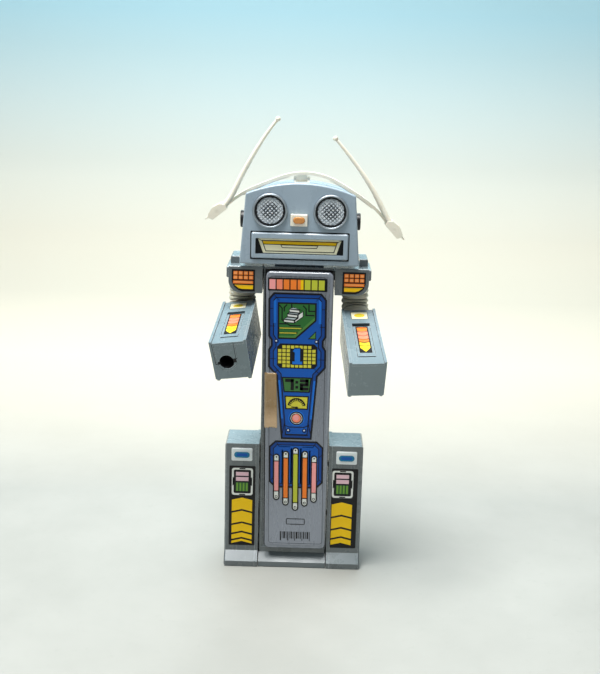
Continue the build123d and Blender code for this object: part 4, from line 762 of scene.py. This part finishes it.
def round_button(art):
    z = 100.4
    art.disc(0, z, 5.0, "mid blue", 2)
    art.disc(0, z, 4.4, "black", 3)
    art.hoop(0, z, 3.6, 0.3, "white", 4)
    art.disc(0, z, 2.75, "salmon", 4)
    art.disc(-0.3, z + 0.4, 1.8, "pink", 5)
    for line in ([(-7.4, 97.0), (-8.8, 90.4)], [(7.4, 97.0), (8.8, 90.4)],
                 [(-7.6, 96.0), (-4.6, 94.6), (4.6, 94.6), (7.6, 96.0)],
                 [(-7.0, 89.4), (7.0, 89.4)]):
        art.stroke(line, 0.5, "navy", 3)


def lower_panel(art):
    blue_panel(art, chamfered(-17.1, 54.2, 17.1, 85.6, 4.0),
               border=2.6, outer_line=1.1, inner_line=0.5)
    # line, width, ink
    lines = (([(16.0, 76.5), (14.4, 74.9), (14.4, 60.5), (16.0, 58.9)], 0.4, "navy"),
             ([(12.4, 84.6), (10.6, 81.6), (4.0, 81.6)], 0.4, "navy"),
             ([(8.6, 79.0), (8.6, 57.0)], 0.9, "mid blue"),
             ([(3.0, 80.2), (3.0, 57.0)], 0.9, "mid blue"))
    for side in (-1, 1):
        for line, width, ink in lines:
            art.stroke(mirrored(line, side), width, ink, 1)


def five_bars(art):
    """Upright round-ended bars, each with a coloured middle."""
    radius = 2.15
    # x, top, top and foot of the coloured part, bottom, ink
    for x, top, high, low, bottom, ink in (
            (-12.3, 76.9, 72.0, 51.9, 45.7, "pink"), (-6.4, 79.0, 74.2, 47.4, 42.2, "orange"),
            (-0.3, 81.5, 77.0, 44.4, 38.8, "yellow green"),
            (5.6, 79.4, 74.6, 47.4, 41.9, "orange"), (11.4, 76.4, 71.8, 51.2, 44.6, "pink")):
        left, right = x - radius, x + radius
        foot, head = bottom + radius, top - radius
        pill = [(left, foot), *arc(x, foot, radius, range(200, 341, 20)), (right, foot),
                (right, head), *arc(x, head, radius, range(20, 161, 20)), (left, head)]
        art.poly(pill, "white", 2)
        art.poly(rect(left + 0.2, low, right - 0.2, high), ink, 3)
        art.frame(pill, 0.85, "black", 5)
        for z in (low, high):
            art.stroke([(left + 0.3, z), (right - 0.3, z)], 0.55, "black", 5)
        art.hoop(x, foot + 0.3, 0.85, 0.35, "black", 5, count=20)
        art.disc(x, head, 0.5, "black", 5)


def striped_block(art):
    """Black stripes low on the panel, with a small empty frame above them."""
    widths = (0.8, 0.4, 1.1, 0.45, 0.7, 0.4, 0.9, 0.5, 0.45, 1.1, 0.4, 0.7, 0.45, 0.8, 0.45,
              1.0, 0.45)
    x = -9.8
    for i, width in enumerate(widths):
        art.poly(rect(x, 19.8 if i % 4 else 18.4, x + width, 24.6), "black")
        x += width + 0.5
    art.frame(rounded(-6.0, 29.4, 6.0, 33.6, 0.8), 0.55, "black")


def front_art():
    art = Art("front_art", "torso", on_front_panel)
    art.frame(rounded(-17.2, 16.4, 17.2, 189.9, 1.8), 0.25, "black")
    for draw in (color_strip, upper_panel, screen, stepped_block, rivets, keypad, readout,
                 gauge, round_button, lower_panel, five_bars, striped_block):
        draw(art)
    art.build()


def cover_gap():
    """Painted shade: dark lines along the cover's -X side, bottom and top, where the gap to the
    torso lies in shadow.
    """
    art = Art("cover_gap", "torso", facing(front_of("torso_front") + 1.48))
    art.poly([(-18.25, 12.5), (-17.4, 12.5), (-19.5, 193.1), (-20.35, 193.1)], "gap", 0)
    art.poly(rect(-18.2, 12.45, 21.0, 13.6), "gap", 1)
    art.poly(rect(-20.2, 192.0, 21.0, 193.1), "gap", 1)
    art.build()


front_art()
cover_gap()

# ------------------------------------------------------------------ mouth
HEAD_FRONT = front_of("head_face")


def mouth_art():
    art = Art("mouth_art", "torso", facing(front_of("mouth_label")))
    art.poly([(-25.2, 212.45), (25.2, 212.45), (22.3, 203.7), (-21.9, 203.7)], "cream")
    art.frame([(-22.9, 211.4), (23.0, 211.4), (20.9, 204.6), (-20.5, 204.6)], 0.5, "black", 2)
    art.poly([(-22.4, 211.0), (22.5, 211.0), (21.9, 209.2), (-21.7, 209.2)], "gold", 1)
    art.poly([(-22.1, 210.3), (22.2, 210.3), (21.9, 209.2), (-21.7, 209.2)], "yellow", 2)
    art.stroke([(-21.7, 209.0), (21.9, 209.0)], 0.4, "black", 3)
    art.frame([(-11.6, 208.9), (11.4, 208.9), (10.4, 206.9), (-10.5, 206.9)], 0.38, "black", 2)
    art.stroke([(-25.0, 212.2), (-22.6, 210.9)], 0.3, "black", 3)
    art.stroke([(25.0, 212.2), (22.8, 210.9)], 0.3, "black", 3)
    art.build()


def mouth_gap():
    """Painted shade: a dark line round the mouth frame, where its gap lies in shadow."""
    art = Art("mouth_gap", "torso", facing(HEAD_FRONT + 2.18))
    art.ring(rounded(-29.6, 199.8, 29.8, 216.9, 0.5), rounded(-28.95, 200.7, 29.15, 216.2, 0.5),
             "gap")
    art.build()


mouth_art()
mouth_gap()


# ------------------------------------------------------------------ shoulder stickers
def shoulder_art(name, side, front):
    """Eight small squares over a bar and a yellow tongue, reaching outwards from left."""
    left = 27.7
    art = Art("shoulder_art_" + name, "torso", facing(front, side=side))
    for i in range(4):
        for j in range(2):
            x, z = left + i * 3.15, 186.9 + j * 2.75
            art.poly(rect(x, z, x + 2.55, z + 2.2), "orange")
            art.poly(rect(x + 0.5, z + 0.45, x + 2.1, z + 1.85), "peach", 1)
    art.poly(rect(left, 184.2, 39.9, 186.0), "orange")
    art.poly(rect(28.4, 184.9, 39.2, 185.5), "peach", 1)
    art.poly(rect(left, 182.7, 38.3, 183.4), "gold", 1)
    art.poly([(left, 180.9), (34.4, 180.9), (36.6, 181.5), (38.9, 183.2), (38.9, 183.4),
              (left, 183.4)], "yellow")
    art.build()


SHOULDER_FRONT = front_of("shoulder_labels")
shoulder_art("left", 1, SHOULDER_FRONT)
shoulder_art("right", -1, SHOULDER_FRONT)


# ------------------------------------------------------------------ leg stickers and badges
def leg_art(body, middle, chevrons, front):
    """Framed window sticker with yellow chevrons below it; chevrons lists their top heights."""
    left, right = middle - 6.7, middle + 6.7
    art = Art("leg_art_" + body, body, facing(front))
    art.poly(rounded(left, 46.9, right, 65.2, 1.6), "white")
    art.poly(rounded(left + 1.2, 48.2, right - 1.2, 64.0, 1.0), "black", 1)
    for bottom, top in ((60.0, 62.5), (56.5, 59.1)):
        art.poly(rect(left + 2.6, bottom, right - 2.8, top), "blush", 2)
    # black tabs in the white border: one below and one above, one on each side
    for side, bottom in ((-1, 47.0), (1, 64.35)):
        art.poly(rect(middle - 1.9, bottom, middle + 1.9, bottom + 0.75), "black", 1)
        outer, inner = middle + side * 6.2, middle + side * 5.2
        art.poly([(outer, 53.2), (inner, 54.0), (inner, 58.4), (outer, 59.2)], "black", 1)
    for i in range(4):
        x = left + i * 2.02
        art.poly(rect(x + 2.7, 49.6, x + 4.3, 55.4), "leaf green", 2)
        art.poly(rect(x + 3.05, 50.0, x + 3.95, 54.9), "grass green", 3)
    drop = 1.6
    for top, following in zip(chevrons, chevrons[1:]):
        foot = following + 1.25
        art.poly([(left + 0.2, top - drop), (middle, top), (right - 0.2, top - drop),
                  (right - 0.2, foot - drop), (middle, foot), (left + 0.2, foot - drop)],
                 "yellow")
    art.build()


def badge_art(body, badge):
    low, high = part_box(badge)
    at = facing(low.y / MM, x0=(low.x + high.x) / 2 / MM, z0=(low.z + high.z) / 2 / MM)
    outline = rounded(-4.9, -1.95, 4.9, 1.95, 1.85)
    art = Art("badge_art_" + body, body, at)
    art.poly(outline, "badge blue")
    art.poly(rounded(-3.5, -0.95, 3.5, 0.95, 0.9), "blue", 1)
    art.frame(outline, 0.35, "badge blue", 1)
    art.build()


LEG_FRONT = front_of("leg_left_label")
# body, badge, x of the middle, chevron heights
for body, badge, middle, chevrons in (
        ("left_leg", "leg_left_badge", 31.3, (43.9, 34.3, 25.9, 19.5, 14.9)),
        ("right_leg", "leg_right_badge", -32.5, (45.2, 36.2, 27.7, 21.3, 17.0, 14.2))):
    leg_art(body, middle, chevrons, LEG_FRONT)
    badge_art(body, badge)


# ------------------------------------------------------------------ forearms
class Arm:
    """Forearm's own axes: x across, y back along it, z up from it. Angles are in degrees."""

    def __init__(self, origin, yaw, pitch, roll):
        yaw, pitch, roll = (math.radians(angle) for angle in (yaw, pitch, roll))
        forward = Vector((-math.sin(yaw) * math.cos(pitch), -math.cos(yaw) * math.cos(pitch),
                          -math.sin(pitch)))
        across = Vector((math.cos(yaw), -math.sin(yaw), 0))
        up = forward.cross(across)
        self.origin = Vector(origin)
        self.x = across * math.cos(roll) + up * math.sin(roll)
        self.y = -forward
        self.z = up * math.cos(roll) - across * math.sin(roll)

    def at(self, x, y, z):
        return self.origin + self.x * x + self.y * y + self.z * z

    def top(self, base):
        """Places art on the arm's top, at z = base."""
        return lambda x, y, height: tuple(self.at(x, y, base + height))


ARMS = {
    "right": Arm((-36.5, -7.9, 171.7), yaw=3.8, pitch=14.4, roll=7.9),
    "left": Arm((37.1, -11.4, 169.2), yaw=-5.6, pitch=23.0, roll=1.5),
}


def lid_label(side):
    outline = rounded(-5.2, -9.8, 5.2, -2.3, 0.6)
    art = Art("lid_label_" + side, side + "_lower_arm", ARMS[side].top(-0.88))
    art.poly(outline, "cream")
    art.frame(outline, 0.3, "black", 1)
    art.disc(0, -6.0, 3.2, "yellow", 1, tall=1.9)
    art.disc(0, -6.0, 2.2, "lemon", 2, tall=1.1)
    art.build()


def arrow_label(side):
    """Black strip with arrow shapes pointing forward along the grip."""
    half, point = 3.0, 0.9
    art = Art("arrow_label_" + side, side + "_grip", ARMS[side].top(-0.74))
    art.poly(rect(-3.8, -43.5, 3.8, -17.6)[::-1][1:] + [(-3.8, -43.5)][:0]
             + rect(-3.8, -43.5, 3.8, -17.6)[3:][:0] + [(-3.8, -17.6)]
             if False else [(-3.8, -17.6), (3.8, -17.6), (3.8, -43.5), (-3.8, -43.5)], "black")
    # back, front, ink
    for back, front, ink in ((-18.6, -22.0, "orange"), (-22.5, -25.8, "salmon"),
                             (-26.3, -29.6, "salmon"), (-30.1, -32.6, "orange")):
        art.poly([(-half, back), (half, back), (half, front), (0, front - point),
                  (-half, front)], ink, 1)
        art.stroke([(-half, back - 0.05), (0, back - 0.95), (half, back - 0.05)],
                   0.3, "black", 2)
    # back, front, tip
    for back, front, tip in ((-33.4, -36.2, -37.1), (-36.7, -39.0, -42.8)):
        art.poly([(-half, back), (0, back - point), (half, back), (half, front), (0, tip),
                  (-half, front)], "bright yellow", 1)
    art.build()


for side in ("right", "left"):
    lid_label(side)
    arrow_label(side)


# ------------------------------------------------------------------ ribbed hoses
HOSE_X, HOSE_Y = 35.3, 3.2
HOSE_TOP_Z, HOSE_KNEE_Z = 184.0, 174.0
HOSE_STATIONS, HOSE_SEGMENTS = 200, 56
HOSE_BORE = 6.1
RIB_START, RIB_LENGTH, RIB_PITCH = 0.6, 20.6, 3.43


def bezier(start, pull, push, end, t):
    return (start * (1 - t) ** 3 + pull * 3 * t * (1 - t) ** 2
            + push * 3 * t * t * (1 - t) + end * t ** 3)


def hose_radius(distance):
    """Rounded ribs near the top, then a plain tube."""
    ribbed = distance - RIB_START
    if 0 < ribbed < RIB_LENGTH:
        phase = (ribbed % RIB_PITCH) / RIB_PITCH
        return 7.05 + 1.4 * math.sin(math.pi * phase) ** 0.55
    return 7.3


def hose(side):
    """Bellows straight down from the shoulder to the knee, then curving into the forearm."""
    arm = ARMS[side]
    x = HOSE_X if side == "left" else -HOSE_X
    top, knee = Vector((x, HOSE_Y, HOSE_TOP_Z)), Vector((x, HOSE_Y, HOSE_KNEE_Z))
    end = arm.at(0, -3.6, -13.2)
    aim = (-arm.y + Vector((0, 0, -0.45))).normalized()
    reach = (end - knee).length * 0.42
    pull, push = knee + Vector((0, 0, -1)) * reach, end - aim * reach
    path = [top + (knee - top) * i / 20 for i in range(20)]
    path += [bezier(knee, pull, push, end, i / 60) for i in range(61)]
    lengths = [0.0]
    for here, there in zip(path, path[1:]):
        lengths.append(lengths[-1] + (there - here).length)
    # evenly spaced stations: point, direction, radius
    outside = []
    k = 0
    for i in range(HOSE_STATIONS + 1):
        distance = lengths[-1] * i / HOSE_STATIONS
        while k < len(lengths) - 2 and lengths[k + 1] < distance:
            k += 1
        part = (distance - lengths[k]) / max(1e-9, lengths[k + 1] - lengths[k])
        along = (path[k + 1] - path[k]).normalized()
        outside.append((path[k].lerp(path[k + 1], part), along, hose_radius(distance)))
    inside = [(point, along, HOSE_BORE) for point, along, _ in outside[::10]]
    stations = outside + inside[::-1]
    vertices = []
    across = Vector((1, 0, 0))
    for point, along, radius in stations:
        first = (across - along * across.dot(along)).normalized()
        second = along.cross(first)
        for j in range(HOSE_SEGMENTS):
            turn = 2 * math.pi * j / HOSE_SEGMENTS
            vertices.append((point + first * (radius * math.cos(turn))
                             + second * (radius * math.sin(turn))) * MM)
    obj = add_mesh(side + "_hose_bellows", vertices, ring_faces(len(stations), HOSE_SEGMENTS),
                   [MATERIALS["vinyl"]])
    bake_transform(obj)
    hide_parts(side + "_hose")


hose("left")
hose("right")

# ------------------------------------------------------------------ launcher spring
# the launcher's bore in the right arm's axes: its line, and the y of the barrel's front
BORE_X, BORE_Z, BARREL_FRONT = -2.4, -13.6, -54.0
SPRING_START = -30.2
SPRING_RADIUS, SPRING_WIRE = 3.2, 0.28
SPRING_PITCH, SPRING_LENGTH = 1.75, 10.2
SPRING_SEGMENTS, STEPS_PER_TURN = 12, 30


def launch_spring():
    """Coil between the plunger's head and the barrel's rear stop.
    """
    arm = ARMS["right"]
    start = arm.at(BORE_X, 0, BORE_Z) + arm.y * SPRING_START
    turns = SPRING_LENGTH / SPRING_PITCH
    steps = int(turns * STEPS_PER_TURN)
    path = []
    for i in range(steps + 1):
        part = i / steps
        turn = 2 * math.pi * turns * part
        path.append(start + arm.x * (SPRING_RADIUS * math.cos(turn))
                    + arm.z * (SPRING_RADIUS * math.sin(turn)) + arm.y * (SPRING_LENGTH * part))
    vertices = []
    for i, point in enumerate(path):
        along = (path[min(i + 1, steps)] - path[max(i - 1, 0)]).normalized()
        centre = start + arm.y * (SPRING_LENGTH * i / steps)
        out = (point - centre).normalized()
        out = (out - along * out.dot(along)).normalized()
        beside = along.cross(out)
        for j in range(SPRING_SEGMENTS):
            turn = 2 * math.pi * j / SPRING_SEGMENTS
            vertices.append((point + out * (SPRING_WIRE * math.cos(turn))
                             + beside * (SPRING_WIRE * math.sin(turn))) * MM)
    faces = ring_faces(steps + 1, SPRING_SEGMENTS, closed=False)
    faces.append(list(range(SPRING_SEGMENTS)))
    faces.append([steps * SPRING_SEGMENTS + j for j in range(SPRING_SEGMENTS)][::-1])
    obj = add_mesh("launch_spring_coil", vertices, faces, [MATERIALS["spring"]])
    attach(obj, "right_lower_arm")
    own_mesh(obj)
    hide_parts("launch_spring")


launch_spring()

# ------------------------------------------------------------------ prism facets of the eyes
EYE_X, EYE_Z = 18.2, 229.3
PRISM_PITCH = 2.55
PRISM_RIM = 8.25


def prism_depth(radius):
    """Depth of a prism's back behind the lens front, deeper towards the rim."""
    if radius < 3.1:
        return 0.5
    if radius < 6.5:
        return 0.5 + (radius - 3.1) / 3.4 * 0.8
    return 1.3 + (radius - 6.5) / 1.8 * 1.3


def eye_prisms():
    """Small pyramids on diamond bases, following the dome of each lens."""
    front = front_of("eye_lenses")
    half = PRISM_PITCH * 0.5

    def dome(x, z):
        return 0.95 * (math.hypot(x, z) / 8.3) ** 2

    vertices, faces = [], []
    for eye_x in (EYE_X, -EYE_X):
        for i in range(-5, 6):
            for j in range(-9, 10):
                mid_x, mid_z = i * PRISM_PITCH + (half if j % 2 else 0.0), j * half
                if math.hypot(mid_x, mid_z) > 8.15 + half * 0.4:
                    continue
                # corners past the rim are drawn back onto it
                corners = []
                for x, z in ((mid_x - half, mid_z), (mid_x, mid_z - half),
                             (mid_x + half, mid_z), (mid_x, mid_z + half)):
                    radius = math.hypot(x, z)
                    fit = min(1.0, PRISM_RIM / radius) if radius else 1.0
                    corners.append((x * fit, z * fit))
                tip_x, tip_z = (sum(values) / 4 for values in zip(*corners))
                base = len(vertices)
                vertices += [(eye_x + x, front + 0.25 + dome(x, z), EYE_Z + z)
                             for x, z in corners]
                vertices += [(eye_x + x, front + prism_depth(math.hypot(x, z)), EYE_Z + z)
                             for x, z in corners]
                vertices.append((eye_x + tip_x, front - 0.42 + dome(tip_x, tip_z),
                                 EYE_Z + tip_z))
                for k in range(4):
                    here, after = base + k, base + (k + 1) % 4
                    faces.append([here, after, base + 8])
                    faces.append([after, here, here + 4, after + 4])
                faces.append([base + 4, base + 5, base + 6, base + 7])
    obj = add_mesh("eye_prisms", metres(vertices), faces, [prism_plastic()],
                   smooth=False, sliver=1e-7)
    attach(obj, "torso")


eye_prisms()


# ------------------------------------------------------------------ eye rims, and a black sleeve of painted shade in the bore
def lathe(name, body, material, profile, origin, axis, start, segments=64):
    """Closed ring: a profile of (radius, distance along) turned about axis from start."""
    quarter = axis.cross(start)
    vertices = []
    for i in range(segments):
        turn = 2 * math.pi * i / segments
        for radius, along in profile:
            vertices.append((origin + axis * along + start * (radius * math.cos(turn))
                             + quarter * (radius * math.sin(turn))) * MM)
    obj = add_mesh(name, vertices, ring_faces(segments, len(profile)), [material])
    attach(obj, body)


# radius, distance behind the face
RIM_PROFILE = ((9.25, 0.0), (9.3, -0.4), (9.55, -0.6), (9.95, -0.58), (10.3, -0.3),
               (10.45, 0.15), (10.45, 0.9), (10.1, 0.9), (10.1, 0.05))
# radius, distance behind the barrel's front
SHADE_LINER_PROFILE = ((4.39, 0.35), (4.39, 20.0), (4.3, 20.0), (4.27, 0.35))


def launcher_seams():
    """Painted shade: a dark patch and joint lines on the launcher's front face."""
    arm = ARMS["right"]
    art = Art("launcher_seams", "right_lower_arm",
              lambda x, z, height: tuple(arm.at(x, BARREL_FRONT - height, z)))
    art.poly(rect(1.6, -14.3, 3.5, -11.7), "gap", 1)
    art.stroke([(-9.6, -1.4), (-9.0, -14.6)], 0.28, "gap")
    art.stroke([(-9.0, -14.6), (-6.9, -14.6)], 0.55, "gap")
    art.stroke([(3.2, -1.6), (3.3, -11.8)], 0.28, "gap")
    art.build()


for name, x in (("eye_rim_left", EYE_X), ("eye_rim_right", -EYE_X)):
    lathe(name, "torso", MATERIALS["rim"], RIM_PROFILE, Vector((x, HEAD_FRONT, EYE_Z)),
          axis=Vector((0, 1, 0)), start=Vector((1, 0, 0)))
# painted shade: a black sleeve lines the bore, darkening it as shade would
lathe("bore_liner", "right_lower_arm", INKS["black"], SHADE_LINER_PROFILE,
      ARMS["right"].at(BORE_X, BARREL_FRONT, BORE_Z), axis=ARMS["right"].y,
      start=ARMS["right"].x)
launcher_seams()

# ------------------------------------------------------------------ aged tape
TAPE_TOP, TAPE_FOOT = 129.3, 93.9
TAPE_COLUMNS, TAPE_ROWS = 10, 26
# rise of the torn foot at each column
TORN_FOOT = (0.0, -0.5, 0.3, -0.4, 0.5, 0.1, 0.6, -0.2, 0.3, -0.3, 0.2)


def tape_patch():
    """Strip over the panel's -X edge, bent back over the cover's chamfer, with a torn foot."""
    columns, rows = TAPE_COLUMNS, TAPE_ROWS
    vertices = []
    for outer in (False, True):
        for j in range(rows + 1):
            z = TAPE_TOP + (TAPE_FOOT - TAPE_TOP) * (j / rows)
            down = TAPE_TOP - z
            left, right = -19.55 + 0.0116 * down, -12.2 + 0.033 * down
            bend = -18.45 + 0.0116 * down
            for i in range(columns + 1):
                x = left + (right - left) * i / columns
                back = max(0.0, bend - x) * 0.95
                torn = TORN_FOOT[i] if j == rows else 0.0
                lift = 0.035 * math.sin(1.9 * x + 0.35 * z) * math.sin(0.22 * z)
                thick = 0.10 + lift if outer else 0.0
                vertices.append((x, LABEL_FRONT + back - thick, z + torn))
    row = columns + 1
    sheet = row * (rows + 1)
    faces = []
    for j in range(rows):
        for i in range(columns):
            quad = [j * row + i, j * row + i + 1, (j + 1) * row + i + 1, (j + 1) * row + i]
            faces += [[quad[0], *quad[:0:-1]], [sheet + corner for corner in quad]]
    border = [*range(row), *(j * row + columns for j in range(1, rows + 1)),
              *(rows * row + i for i in range(columns - 1, -1, -1)),
              *(j * row for j in range(rows - 1, 0, -1))]
    for here, after in zip(border, border[1:] + border[:1]):
        faces.append([here, after, sheet + after, sheet + here])
    obj = add_mesh("tape_patch", metres(vertices), faces, [MATERIALS["tape"]])
    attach(obj, "torso")


tape_patch()

# ------------------------------------------------------------------ floor (metres)
FLOOR_HALF_WIDTH = 2.2
# y, z of the floor as it sweeps up into the backdrop
FLOOR_PROFILE = ((-1.6, 0.0), (0.9, 0.0), (1.2, 0.03), (1.4, 0.14), (1.5, 0.35), (1.52, 1.8))


def pale_floor():
    mat = Material("pale floor")
    tint = mat.mix(mat.noise(scale=9, detail=4, rough=0.6, span=(0.3, 0.7)),
                   srgb(166, 168, 162), srgb(177, 179, 173))
    specks = mat.noise(scale=140, detail=5, rough=0.7, span=(0.58, 0.74), to=(0.0, 0.25))
    tint = mat.mix(specks, tint, srgb(154, 156, 149))
    place = mat.separate("Object")
    wall = mat.mix(mat.remap(place["Z"], span=(0.02, 0.42)),
                   srgb(228, 221, 203), srgb(166, 208, 222))
    tint = mat.mix(mat.remap(place["Y"], span=(0.10, 0.50)), tint, wall)
    # only the far part gives off light
    glow = mat.mix(mat.remap(place["Y"], span=(0.85, 1.35)), (0.0, 0.0, 0.0, 1.0), wall)
    relief = mat.bump(mat.noise(scale=180, detail=4, rough=0.6), strength=0.12, distance=0.0004)
    return mat.finish(base_color=tint, roughness=0.65, normal=relief, emission_color=glow,
                      emission_strength=0.24)


def add_floor():
    vertices = [(x, y, z) for y, z in FLOOR_PROFILE for x in (-FLOOR_HALF_WIDTH, FLOOR_HALF_WIDTH)]
    faces = [[2 * i, 2 * i + 1, 2 * i + 3, 2 * i + 2] for i in range(len(FLOOR_PROFILE) - 1)]
    floor = add_mesh("floor", vertices, faces, [pale_floor()], outward=False)


add_floor()


# ------------------------------------------------------------------ lights and world (metres)
def area(name, place, target, size, power, color):
    light = bpy.data.lights.new(name, "AREA")
    light.energy = power
    light.size = size
    light.color = color
    lamp = add_object(name, light)
    lamp.location = place
    aim = Vector(target) - Vector(place)
    lamp.rotation_euler = aim.to_track_quat("-Z", "Y").to_euler()


area("key", place=(-0.22, -0.20, 1.35), target=(0, 0, 0.12), size=0.7, power=30,
     color=(1.0, 0.998, 0.985))
area("front", place=(-0.25, -1.2, 0.95), target=(0, 0, 0.16), size=0.7, power=1.4,
     color=(0.97, 0.99, 1.0))
area("fill left", place=(-1.0, -0.4, 0.5), target=(0, 0, 0.12), size=0.6, power=0.45,
     color=(0.95, 0.98, 1.0))
area("fill right", place=(1.0, -0.4, 0.6), target=(0, 0, 0.14), size=0.6, power=0.3,
     color=(1.0, 0.98, 0.95))
area("rear", place=(0.15, 1.0, 1.05), target=(0, 0, 0.15), size=0.8, power=6,
     color=(0.86, 0.95, 1.0))
area("backdrop", place=(0, 0.35, 1.9), target=(0, 1.5, 0.45), size=1.2, power=5.2,
     color=(0.97, 1.0, 1.0))


def set_background(node, color, strength):
    node.inputs["Color"].default_value = color
    node.inputs["Strength"].default_value = strength


def add_world():
    """The surround is pale to the camera but adds only a little light of its own."""
    world = bpy.data.worlds.new("studio")
    world.use_nodes = True
    nodes, links = world.node_tree.nodes, world.node_tree.links
    lighting = nodes["Background"]
    set_background(lighting, color=(0.90, 0.95, 1.0, 1), strength=0.10)
    seen = nodes.new("ShaderNodeBackground")
    set_background(seen, color=(0.80, 0.84, 0.84, 1), strength=0.85)
    path = nodes.new("ShaderNodeLightPath")
    both = nodes.new("ShaderNodeMixShader")
    links.new(path.outputs["Is Camera Ray"], both.inputs[0])
    links.new(lighting.outputs[0], both.inputs[1])
    links.new(seen.outputs[0], both.inputs[2])
    links.new(both.outputs[0], nodes["World Output"].inputs["Surface"])
    bpy.context.scene.world = world


add_world()

# ------------------------------------------------------------------ camera
CAMERA_PLACE = (6.582, -676.429, 310.277)
# radians: pitch looks down, yaw turns towards +X
CAMERA_PITCH, CAMERA_YAW, CAMERA_ROLL = 0.236185, -0.00739978, -0.0267693


def add_camera():
    pitch, yaw, roll = CAMERA_PITCH, CAMERA_YAW, CAMERA_ROLL
    forward = Vector((math.sin(yaw) * math.cos(pitch), math.cos(yaw) * math.cos(pitch),
                      -math.sin(pitch)))
    level = Vector((math.cos(yaw), -math.sin(yaw), 0))
    upright = level.cross(forward)
    right = level * math.cos(roll) - upright * math.sin(roll)
    up = level * math.sin(roll) + upright * math.cos(roll)
    data = bpy.data.cameras.new("camera")
    data.lens = 58.845
    data.sensor_width = 36.0
    data.sensor_height = 36.0
    data.sensor_fit = "AUTO"
    data.clip_start = 0.01
    camera = add_object("camera", data)
    rows = [(right[i], up[i], -forward[i], CAMERA_PLACE[i] * MM) for i in range(3)]
    camera.matrix_world = Matrix((*rows, (0, 0, 0, 1)))
    bpy.context.scene.camera = camera


add_camera()

# guards against a colour configuration that has no Standard view
try:
    bpy.context.scene.view_settings.view_transform = "Standard"
except TypeError:
    pass
